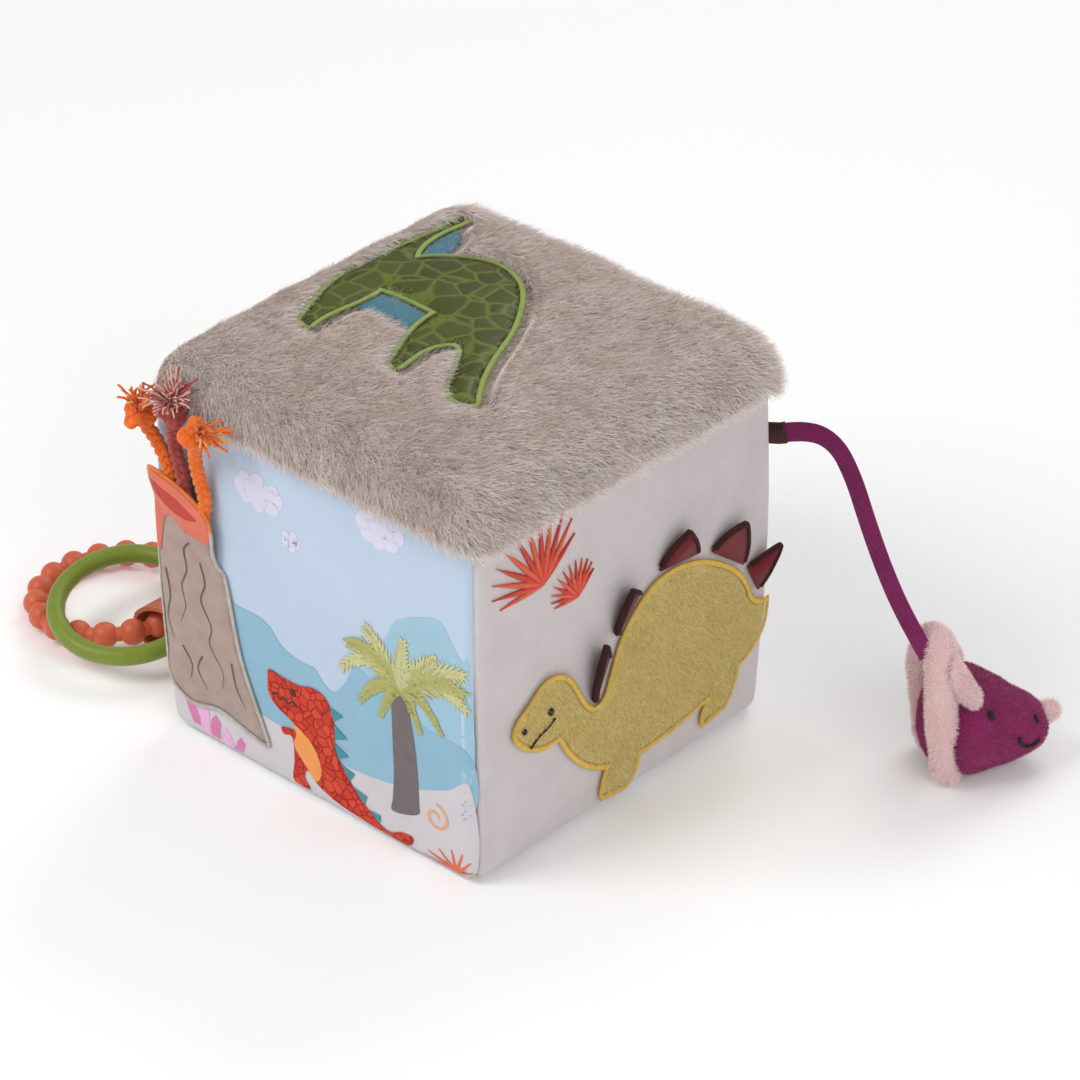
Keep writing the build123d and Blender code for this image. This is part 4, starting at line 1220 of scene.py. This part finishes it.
def plate(number):
    """A thick felt leaf with an overcast edge, on the outline of its two model nodes."""
    felt_node, edge_node = f"plate_{number}", f"plate_{number}_stitching"
    bm = bmesh.new()
    for node in (felt_node, edge_node):
        bm.from_mesh(nodes[node].data)
    joint = next(j for j in frame["joints"] if j["name"] == f"plate_{number}_lift")
    start, along = Vector(joint["pos_m"]), Vector(joint["axis"]).normalized()
    spreads = []
    for degree in range(180):
        normal = Matrix.Rotation(radians(degree), 3, along) @ along.orthogonal().normalized()
        depths = [(v.co - start).dot(normal) for v in bm.verts]
        spreads.append((max(depths) - min(depths), degree, normal))
    normal = min(spreads)[2]
    normal = normal * (1 if normal.x > 0 else -1)
    up = normal.cross(along).normalized()
    if sum((v.co - start).dot(up) for v in bm.verts) < 0:
        along, up = -along, -up
    depths = [(v.co - start).dot(normal) for v in bm.verts]
    centre, half = (max(depths) + min(depths)) / 2, (max(depths) - min(depths)) / 2
    corners = outer_points([Vector(((v.co - start).dot(along), (v.co - start).dot(up))) for v in bm.verts])
    bm.free()
    middle = sum(corners, Vector((0, 0))) / len(corners)
    corners = [middle + (p - middle) * 1.04 for p in corners]
    loop = [p for p, _ in walk(corners, 0.6 * MM)]
    bm = bmesh.new()
    bmesh.ops.contextual_create(bm, geom=[bm.verts.new((p.x, p.y, 0)) for p in loop])
    for _ in range(9):
        outer = [f for f in bm.faces if len(f.verts) > 4] or []
        if not outer:
            break
        bmesh.ops.inset_region(bm, faces=outer, thickness=0.7 * MM, use_even_offset=False)
        if min(p.calc_area() for p in bm.faces if len(p.verts) > 4) < 4 * MM * MM:
            break
    rim = KDTree(len(loop))
    for i, p in enumerate(loop):
        rim.insert((p.x, p.y, 0), i)
    rim.balance()
    for vert in bm.verts:
        inner = min(1.0, rim.find(vert.co)[2] / (1.6 * MM))
        vert.co.z = half * (0.55 + 0.45 * sin(inner * pi / 2)) + noise.noise(vert.co * 300) * 0.15 * MM * inner
    copied = bmesh.ops.duplicate(bm, geom=bm.verts[:] + bm.edges[:] + bm.faces[:])
    lower = [g for g in copied["geom"] if isinstance(g, bmesh.types.BMVert)]
    for vert in lower:
        vert.co.z = -vert.co.z
    bmesh.ops.bridge_loops(bm, edges=[e for e in bm.edges if e.is_boundary])
    bmesh.ops.recalc_face_normals(bm, faces=bm.faces)

    def in_place(v):
        return soften(start + along * v.x + up * v.y + normal * (centre + v.z))
    for vert in bm.verts:
        vert.co = in_place(vert.co)
    piece = goes(keep(f"felt_{felt_node}", bm, felt), felt_node, "felt", felt_node)
    one = thread(0.85 * MM, 2.0 * MM, half * 2 + 0.9 * MM)
    edge_bm = bmesh.new()
    for p, t in walk(loop, 0.62 * MM):
        if p.y < 0.7 * MM:
            continue
        inwards = (middle - p).normalized()
        place = p + inwards * 0.7 * MM
        mesh = one.copy()
        mesh.transform(Matrix(((t.x, -t.y, 0, place.x), (t.y, t.x, 0, place.y), (0, 0, 1, 0), (0, 0, 0, 1))))
        edge_bm.from_mesh(mesh)
        bpy.data.meshes.remove(mesh)
    for vert in edge_bm.verts:
        vert.co = in_place(vert.co)
    bmesh.ops.recalc_face_normals(edge_bm, faces=edge_bm.faces)
    goes(keep(f"overcast_{felt_node}", edge_bm, brown_thread), felt_node, "brown_thread", edge_node)
    return piece


for number in range(1, 6):
    plate(number)
print("5 felt plates")

# %% [markdown]
# ## Left panel
# The side with the rings is printed too, pale cream with a few orange ferns. It has the same
# construction as the front panel.

# %% Left panel
left_cloth = cloth("cream print", (206, 196, 184), (228, 220, 208), "weave", 2200.0, "right", sheen=0.1, bump=0.2,
                   spots=30.0)
left = panel("cover_left_print_panel", "left", left_cloth, "print_cloth")
left_ferns = []
for x, z, size in ((-40, 108, 1.0), (28, 118, 0.7), (-8, 74, 1.25), (46, 66, 0.9), (-50, 40, 0.8)):
    tips = [(x + 17 * size * cos(radians(t)), z + 17 * size * sin(radians(t))) for t in range(20, 175, 22)]
    left_ferns += fan(x, z, tips, 2.6 * size)
printed("left_fern_prints", left_ferns, fern_ink, 1, face="left")
print("left panel printed with", len(left_ferns), "leaves")

# %% [markdown]
# ## Ropes with knots and tassels
# Three braided cotton ropes come out from behind the crater. Each is tied in an overhand knot
# and its end is frayed. A braid is three strands that swing past each other on a slow figure of
# eight, so each strand is a tube of its own, and the knot is the same braid on a trefoil line.

# %% Lines and tubes


def route_line(name, points, step=0.7 * MM):
    """Evenly spaced places along the smooth curve that a route controls."""
    data = bpy.data.curves.new(name, "CURVE")
    data.dimensions = "3D"
    spline = data.splines.new("NURBS")
    spline.points.add(len(points) - 1)
    for control, p in zip(spline.points, points):
        control.co = (*p, 1)
    spline.order_u = 3
    spline.use_endpoint_u = True
    spline.resolution_u = 24
    holder = bpy.data.objects.new(name, data)
    bpy.context.scene.collection.objects.link(holder)
    mesh = bpy.data.meshes.new_from_object(holder)
    line = [v.co.copy() for v in mesh.vertices]
    bpy.data.objects.remove(holder)
    places = [p for p, _ in walk(line, step, closed=False)]
    return places + [line[-1]]


def axes_along(line, side=None):
    """A place, two cross axes and the direction at each point, without turning on the way."""
    result, across = [], None
    for i, p in enumerate(line):
        ahead = (line[min(i + 1, len(line) - 1)] - line[max(i - 1, 0)]).normalized()
        if side is not None:
            across = ahead.cross(side).normalized()
        elif across is None:
            across = ahead.orthogonal().normalized()
        else:
            across = (across - ahead * across.dot(ahead)).normalized()
        result.append((p, across, ahead.cross(across), ahead))
    return result


def tube(bm, line, radius, sides=7, side=None, flat=1.0, shape=None):
    """A tube round a line; radius is a length or a function of the share of the way."""
    before, first = None, None
    for i, (p, across, other, ahead) in enumerate(axes_along(line, side)):
        r = radius(i / (len(line) - 1)) if callable(radius) else radius
        place = Matrix.Translation(p) @ Matrix((across * r, other * r * flat, ahead)).transposed().to_4x4()
        ring = bmesh.ops.create_circle(bm, cap_ends=False, segments=sides, radius=1.0, matrix=place)["verts"]
        if shape:
            for vert in ring:
                off = vert.co - p
                vert.co = p + off * shape(off.dot(across) / r, off.dot(other) / r)
        edges = list({e for v in ring for e in v.link_edges})
        if before:
            bmesh.ops.bridge_loops(bm, edges=before + edges)
        else:
            first = edges
        before = edges
    for end in (first, before):
        bmesh.ops.contextual_create(bm, geom=end)


def braid(line, width=1.25 * MM, depth=0.85 * MM, thick=1.45 * MM, pitch=9.5 * MM):
    """Three strands that pass over each other along a line."""
    bm = bmesh.new()
    for strand in range(3):
        centres, gone = [], 0.0
        rows = axes_along(line)
        for i, (p, across, other, _) in enumerate(rows):
            gone += (p - rows[i - 1][0]).length if i else 0.0
            phase = 2 * pi * (gone / pitch + strand / 3)
            centres.append(p + across * width * sin(phase) + other * depth * sin(2 * phase))
        tube(bm, centres, thick, 8)
    bmesh.ops.recalc_face_normals(bm, faces=bm.faces)
    return bm


def trefoil(centre, axis, size, tall, turn=0.0, steps=90):
    """The line of an overhand knot round an axis."""
    tilt = Matrix.Rotation(turn, 3, "Z")
    spin = Vector((0, 0, 1)).rotation_difference(axis.normalized()).to_matrix()
    line = []
    for i in range(steps + 1):
        t = 2 * pi * i / steps
        p = Vector((sin(t) + 2 * sin(2 * t), cos(t) - 2 * cos(2 * t), -sin(3 * t) * tall))
        line.append(centre + spin @ tilt @ p * size)
    return line


def tassel(name, place, axis, count, length, spread, material, slot, body, seed, replaced=(), thick=0.42 * MM,
           curl=0.9 * MM):
    """Frayed yarns that leave a knot, bend and curl."""
    rand = random.Random(seed)
    bm = bmesh.new()
    axis = axis.normalized()
    for _ in range(count):
        wide = Vector([rand.gauss(0, 1) for _ in range(3)])
        wide = (wide - axis * wide.dot(axis)).normalized() * rand.random() ** 0.6
        reach = length * rand.uniform(0.62, 1.0)
        phase, swing = rand.uniform(0, 6.28), rand.uniform(0.3, 1.0) * curl
        over = axis.orthogonal().normalized()
        line = []
        for i in range(9):
            s = i / 8
            p = place + wide * 1.9 * MM + (axis * s + wide * spread * s ** 1.5) * reach
            p += (over * sin(phase + 5.0 * s) + axis.cross(over) * cos(phase + 5.6 * s)) * swing * s
            p.z -= 0.18 * reach * s ** 3
            line.append(p)
        tube(bm, line, lambda s: thick * (1.0 - 0.25 * s), 5)
    bmesh.ops.recalc_face_normals(bm, faces=bm.faces)
    return goes(keep(name, bm, material), body, slot, *replaced)


# %% Ropes
orange_yarn = cloth("orange cotton", (222, 84, 6), (250, 132, 30), scale=2400.0, sheen=0.25, bump=0.5, spots=260.0)
pale_yarn = cloth("pale orange cotton", (240, 150, 60), (255, 196, 110), scale=2400.0, sheen=0.25, bump=0.4)
maroon_yarn = cloth("maroon cotton", (142, 46, 42), (182, 80, 72), scale=2400.0, sheen=0.25, bump=0.5, spots=260.0)
rose_yarn = cloth("rose cotton", (206, 128, 120), (242, 196, 184), scale=2400.0, sheen=0.25, bump=0.4)


def at_front(x, out, z):
    """A place from model sizes in millimetres, out from the front face."""
    return Vector((x * MM, -HALF - out * MM, z * MM))


rope_routes = {
    "left": [(-58.4, 2.7, 101.5), (-60.4, 2.9, 108), (-61.8, 3.0, 112), (-63, 3.2, 116.6), (-65.4, 3.8, 121.4), (-67.8, 5.2, 126.8),
             (-70.4, 8, 132.2), (-70.8, 10, 137.5)],
    "middle": [(-53.0, 2.7, 98), (-54.0, 2.9, 106), (-55.6, 3.2, 115), (-57.2, 3.8, 121), (-58.4, 4.6, 129), (-56.6, 6.6, 138.6),
               (-54.8, 8, 143.6)],
    "right": [(-48.4, 2.7, 94), (-46, 2.9, 100), (-44.6, 3.1, 105.4), (-44.2, 3.4, 110.8), (-46.4, 4.2, 118), (-46.4, 6.2, 127),
              (-42.6, 9.6, 136), (-38, 12.4, 141.4)]}
rope_ends = {"left": Vector((0.20, -0.20, 1.0)), "middle": Vector((0.22, -0.30, 0.95)),
             "right": Vector((0.88, -0.20, 0.50))}
knot_sizes = {"left": (1.42, 0.9, 0.3), "middle": (1.62, 0.75, 1.1), "right": (1.46, 0.9, 2.0)}
for side, route in rope_routes.items():
    yarn, slot = (maroon_yarn, "maroon_rope") if side == "middle" else (orange_yarn, "orange_rope")
    body = f"rope_{side}_bend" if f"rope_{side}_bend" in frame["bodies"] else f"rope_{side}"
    controls = [soften(at_front(*p)) for p in route]
    line = route_line(f"rope {side}", controls)
    rope = goes(keep(f"braided_rope_{side}", braid(line), yarn), body, slot, f"rope_{side}")
    low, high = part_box(f"rope_knot_{side}")
    centre = soften((low + high) / 2)
    size, tall, turn = knot_sizes[side]
    knot = goes(keep(f"overhand_knot_{side}", braid(trefoil(centre, rope_ends[side], size * MM, tall, turn),
                                                    1.0 * MM, 0.7 * MM, 1.4 * MM, 8 * MM), yarn),
                body, slot, f"rope_knot_{side}")
    root = centre + rope_ends[side].normalized() * 3.4 * MM
    if side == "middle":
        tufts = [tassel("yarn_ends_middle", root, rope_ends[side], 56, 10.5 * MM, 0.95, maroon_yarn, slot, body, 4,
                        ["rope_tassel_middle"]),
                 tassel("pale_yarn_ends_middle", root, rope_ends[side], 52, 11 * MM, 1.0, rose_yarn, slot, body, 5)]
    else:
        wide = 0.6 if side == "left" else 0.7
        tufts = [tassel(f"yarn_ends_{side}", root, rope_ends[side], 26, 11 * MM, wide, orange_yarn, slot, body, 6,
                        [f"rope_tassel_{side}"], 0.6 * MM),
                 tassel(f"pale_yarn_ends_{side}", root, rope_ends[side], 9, 11 * MM, wide, pale_yarn, slot, body, 7,
                        thick=0.5 * MM)]
    length = sum((b - a).length for a, b in zip(line, line[1:]))
    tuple(controls[0])
    print(f"rope {side}: {length * 1000:.1f} mm")

# %% [markdown]
# ## Strap
# The head hangs on a flat ribbon, folded and stitched along its length. It leaves the seam at
# the block's back right edge, falls in one slow curve and ends behind the head's frill.

# %% Strap
strap_cloth = cloth("purple ribbon", (88, 6, 60), (136, 20, 94), "weave", 1900.0, "right", sheen=0.1, bump=0.35)
STRAP_W, STRAP_T = 7.0 * MM, 2.0 * MM
strap_route = [(77.8, 77.8, 115.6), (85.2, 84.6, 117.3), (95.4, 87.8, 114.2), (104.4, 86.8, 104.2),
               (112.4, 85.2, 90.6), (121.8, 83.4, 76.4), (132.6, 81.8, 62.8), (144.4, 81.6, 50.0)]
strap_line = route_line("strap", [Vector(p) * MM for p in strap_route], 1.2 * MM)
STRAP_SIDE = Vector((0.15, -0.95, 0.28))


def fold(across, other):
    """Pinches the ribbon along its stitched line."""
    return 1.0 - 0.35 * exp(-((across - 0.25) / 0.16) ** 2)


bm = bmesh.new()
tube(bm, strap_line, STRAP_W / 2, 26, STRAP_SIDE, STRAP_T / STRAP_W, fold)
bmesh.ops.recalc_face_normals(bm, faces=bm.faces)
strap = goes(keep("flat_strap", bm, strap_cloth), "strap", "strap_cloth", "head_strap")
strap_length = sum((b - a).length for a, b in zip(strap_line, strap_line[1:]))
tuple(strap_line[0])
# A dark brown sleeve round the strap's root where it enters the seam, with five raised bars across it.
bm = bmesh.new()
inside = Vector(strap_route[0]) * MM - Vector((5, 5, -0.6)) * MM
tube(bm, [inside, inside.lerp(strap_line[0], 0.5), strap_line[0], strap_line[2]], STRAP_W / 2 + 0.4 * MM, 20, STRAP_SIDE,
     0.36)
for i in range(5):
    p = inside.lerp(strap_line[0], 0.45 + 0.16 * i)
    place = Matrix.Translation(p) @ Matrix.Rotation(radians(45), 4, "Z")
    bmesh.ops.create_uvsphere(bm, u_segments=8, v_segments=6, radius=1.0,
                              matrix=place @ Matrix.Diagonal((0.5 * MM, 1.7 * MM, 4.1 * MM, 1)))
bmesh.ops.recalc_face_normals(bm, faces=bm.faces)
goes(keep("stitched_strap_root", bm, brown_thread), "block", "brown_thread", "strap_anchor")
print("strap", round(strap_length * 1000, 1), "mm")

# %% [markdown]
# ## Horned head
# The little head is a stuffed plush bag with a seam along the jaw, a thick frill of pink plush
# round the neck and three pink horns. Each piece starts from the model's plain solid, is
# remeshed into an even skin, rounded and dented a little, and gets a nap of very short fibres.

# %% Head pieces
stuffing = cloth("stuffing", (226, 224, 218), (244, 242, 238), scale=260.0, rough=1.0)
HEAD_FOOT = Vector((0.146, 0.090, 0))
FACING = Vector((0.6, 0.8, 0))
CHEEK = Vector((0.8, -0.6, 0))
HEAD_FIT = (0.80, 0.95, 0.98)       # the stuffing draws the bag in along, across and up

FIT_FROM = 6.8 * MM


def fitted(p):
    """A place of the model's head on the stuffed head."""
    d = p - HEAD_FOOT
    a, s = d.dot(FACING), d.dot(CHEEK)
    return HEAD_FOOT + FACING * (FIT_FROM + (a - FIT_FROM) * HEAD_FIT[0]) + CHEEK * s * HEAD_FIT[1] + \
        Vector((0, 0, p.z * HEAD_FIT[2]))


def stuffed(name, names, voxel, rounds, dents, material, slot, shape=None, puff=0.0):
    """A plush bag with an even skin from the outer shells of model nodes."""
    bm = bmesh.new()
    for node in names:
        bm.from_mesh(nodes[node].data)
    bmesh.ops.remove_doubles(bm, verts=bm.verts, dist=1e-6)
    piece = keep(name, bm, material)
    skin = piece.modifiers.new("skin", "REMESH")
    skin.mode = "VOXEL"
    skin.voxel_size = voxel
    applied(piece)
    bm = bmesh.new()
    bm.from_mesh(piece.data)
    seen, largest = set(), []
    for vert in bm.verts:
        if vert in seen:
            continue
        island, stack = [], [vert]
        seen.add(vert)
        while stack:
            one = stack.pop()
            island.append(one)
            for edge in one.link_edges:
                other = edge.other_vert(one)
                if other not in seen:
                    seen.add(other)
                    stack.append(other)
        largest = island if len(island) > len(largest) else largest
    wanted = set(largest)
    bmesh.ops.delete(bm, geom=[v for v in bm.verts if v not in wanted], context="VERTS")
    for _ in range(rounds):
        bmesh.ops.smooth_vert(bm, verts=bm.verts, factor=0.5, use_axis_x=True, use_axis_y=True, use_axis_z=True)
    bm.normal_update()
    moves = [(v, v.normal * (puff + noise.noise(v.co * 70) * dents + noise.noise(v.co * 190) * dents * 0.4)) for v in bm.verts]
    for vert, move in moves:
        place = vert.co + move
        if shape:
            place = shape(place)
        vert.co = fitted(place)
    bmesh.ops.recalc_face_normals(bm, faces=bm.faces)
    bm.to_mesh(piece.data)
    bm.free()
    piece.data.polygons.foreach_set("use_smooth", [True] * len(piece.data.polygons))
    mark_fur(piece.data, lambda p: True)
    return goes(piece, "head", slot, *names)


def jaw_seam(p):
    """Draws the skin in along the seam between the cheeks and the jaw."""
    d = p - HEAD_FOOT
    a, s = d.dot(FACING), d.dot(CHEEK)
    level = 9.0 * MM - a * 0.03
    depth = 1.1 * MM * exp(-((p.z - level) / (0.9 * MM)) ** 2)
    long = hypot(s, 1e-6)
    return p - CHEEK * (s / long) * depth


head_skin = stuffed("plush_head", ["head_skin"], 0.8 * MM, 4, 0.8 * MM, plush, "purple_plush", jaw_seam)
frill = stuffed("plush_frill", ["head_frill"], 0.9 * MM, 6, 1.0 * MM, pink_plush, "pink_plush")
stuffed("loose_stuffing", ["head_filling"], 1.6 * MM, 4, 0.3 * MM, stuffing, "filling")


def shorter(p):
    """Draws a brow horn back towards its base."""
    return p - FACING * max(0.0, (p - HEAD_FOOT).dot(FACING) + 3 * MM) * 0.32


horns = [stuffed(f"plush_{n}", [n], 0.5 * MM, 5, 0.5 * MM, pink_plush, "pink_plush", shape, puff)
         for n, shape, puff in (("brow_horn_near", shorter, 2.3 * MM), ("brow_horn_far", shorter, 2.0 * MM),
                                ("nose_horn", None, 0.1 * MM))]

# %% Nap of the head
# The first two colours of each nap are painted shade low among the fibres; the last two vary at random at the tips.
purple_nap = blade_material("purple nap", (108, 3, 62), (146, 10, 90), (162, 18, 104), (184, 40, 126), 90.0)
pink_nap = blade_material("pink nap", (226, 188, 190), (238, 208, 208), (246, 222, 220), (252, 236, 234), 90.0)
short_nap = blade("purple_blade", 1.0 * MM, 0.2 * MM, 0.7, purple_nap, 2)
long_nap = blade("pink_blade", 1.6 * MM, 0.22 * MM, 0.7, pink_nap, 2)
grow("purple_head_nap", head_skin, short_nap, 5.0e6, "head", "purple_plush", seed=21, comb=0.4, lean=(0.2, 0.3, -0.3),
     jitter=0.35)
grow("pink_frill_nap", frill, long_nap, 5.0e6, "head", "pink_plush", seed=22, comb=0.4, lean=(0, 0, -0.2), jitter=0.4)
for horn in horns:
    grow(f"{horn.name}_nap", horn, long_nap, 7.0e6, "head", "pink_plush", seed=23, comb=0.4,
         lean=(0.4, 0.5, -0.3), jitter=0.4)

# %% Face of the head
head_shape = BVHTree.FromPolygons([v.co for v in head_skin.data.vertices], [p.vertices for p in head_skin.data.polygons])


def cheek_point(a, z, side):
    """The place on the skin straight in from one side of the head."""
    start = fitted(HEAD_FOOT + FACING * a * MM + CHEEK * side * 0.04 + Vector((0, 0, z * MM)))
    hit, normal, _, _ = head_shape.ray_cast(start, -CHEEK * side)
    return hit + normal * 0.7 * MM, normal


face_bm = bmesh.new()
for side in (1, -1):
    for a, z, wide, tall in ((14.5, 30.6, 2.8, 4.2), (38.0, 21.8, 1.3, 3.6)):
        hit, normal = cheek_point(a, z, side)
        turn = Vector((0, 0, 1)).rotation_difference(normal).to_matrix().to_4x4()
        up = (Vector((0, 0, 1)) - normal * normal.z).normalized()
        along = up.cross(normal)
        place = Matrix.Translation(hit) @ Matrix((along, up, normal)).transposed().to_4x4()
        bmesh.ops.create_uvsphere(face_bm, u_segments=16, v_segments=10, radius=1.0,
                                  matrix=place @ Matrix.Diagonal((wide / 2 * MM, tall / 2 * MM, 0.7 * MM, 1)))
    smile_line = []
    for i in range(15):
        t = radians(182 + 130 * i / 14)
        hit, _ = cheek_point(35.2 + 6.3 * cos(t), 18.6 + 5.4 * sin(t), side)
        smile_line.append(hit)
    tube(face_bm, smile_line, 0.6 * MM, 8)
bmesh.ops.recalc_face_normals(face_bm, faces=face_bm.faces)
goes(keep("stitched_face", face_bm, dark_thread), "head", "brown_thread", "head_face_embroidery")
print("head dressed")

# %% [markdown]
# ## Rings, loop and the pieces inside
# The rings are moulded silicone, so their model shapes are already right and only need their
# finish: a soft sheen with a faint dusty mottle. The parts inside the cover get plain finishes
# of their own, because they show when the cover is off.

# %% Finishes for model nodes


def moulded(name, dark, light, rough=0.45, coat=0.0, bump=0.06):
    """Soft moulded rubber or plastic."""
    return cloth(name, dark, light, scale=900.0, rough=rough, sheen=0.12, bump=bump, spots=60.0)


green_silicone = moulded("green silicone", (104, 122, 20), (126, 144, 34))
orange_silicone = moulded("orange silicone", (196, 80, 44), (216, 102, 62))
foam = cloth("foam", (206, 202, 182), (232, 228, 212), scale=300.0, rough=1.0, sheen=0.0)
crinkle = moulded("crinkle film", (190, 196, 204), (226, 230, 234), 0.25)
shell_plastic = moulded("white plastic", (214, 214, 208), (232, 232, 226), 0.35)
ball_plastic = moulded("red plastic", (186, 40, 30), (206, 60, 46), 0.35)


def finish_node(name, material):
    """Gives a model node its finish and leaves its shape."""
    piece = nodes[name]
    for slot in piece.material_slots:
        slot.material = material
    if not piece.material_slots:
        piece.data.materials.append(material)


finishes = {"green_ring": green_silicone, "bead_ring": orange_silicone, "ring_loop": webbing, "loop_patch": webbing,
            "foam_core": foam, "crinkle_film": crinkle, "rattle_ball": ball_plastic}
for name in nodes:
    if name in finishes:
        finish_node(name, finishes[name])
    elif name.startswith("rattle"):
        finish_node(name, shell_plastic)
print("finished", len(finishes), "kinds of model node")

# %% [markdown]
# ## Studio
# A pale floor that runs far back, one large soft light from the upper left, a weaker one from
# the right and a bright even sky. Shadows stay soft, as on a product page.

# %% Floor and lights
floor_mesh = bmesh.new()
bmesh.ops.create_grid(floor_mesh, x_segments=1, y_segments=1, size=6)
floor_material = bpy.data.materials.new("floor")
floor_material.use_nodes = True
floor_material.node_tree.nodes["Principled BSDF"].inputs["Base Color"].default_value = (0.96, 0.96, 0.96, 1)
floor_material.node_tree.nodes["Principled BSDF"].inputs["Roughness"].default_value = 0.7
floor_material.node_tree.nodes["Principled BSDF"].inputs["Emission Color"].default_value = (1, 1, 1, 1)
floor_material.node_tree.nodes["Principled BSDF"].inputs["Emission Strength"].default_value = 0.06
floor = keep("floor", floor_mesh, floor_material)


def soft_light(name, place, size, power):
    """A square area light aimed at the block's middle."""
    light = bpy.data.objects.new(name, bpy.data.lights.new(name, "AREA"))
    light.data.size = size
    light.data.energy = power
    light.location = place
    light.rotation_euler = (Vector((0, 0, 0.07)) - Vector(place)).to_track_quat("-Z", "Y").to_euler()
    bpy.context.scene.collection.objects.link(light)


soft_light("key", (-0.55, -1.1, 1.35), 0.8, 13.5)
soft_light("fill", (1.3, -0.5, 0.9), 1.0, 7.0)
soft_light("back", (-0.3, 1.2, 1.3), 0.9, 6.6)
world = bpy.data.worlds.new("studio")
bpy.context.scene.world = world
world.use_nodes = True
world.node_tree.nodes["Background"].inputs["Color"].default_value = (1, 1, 1, 1)
world.node_tree.nodes["Background"].inputs["Strength"].default_value = 0.47
bpy.context.scene.view_settings.view_transform = "Standard"
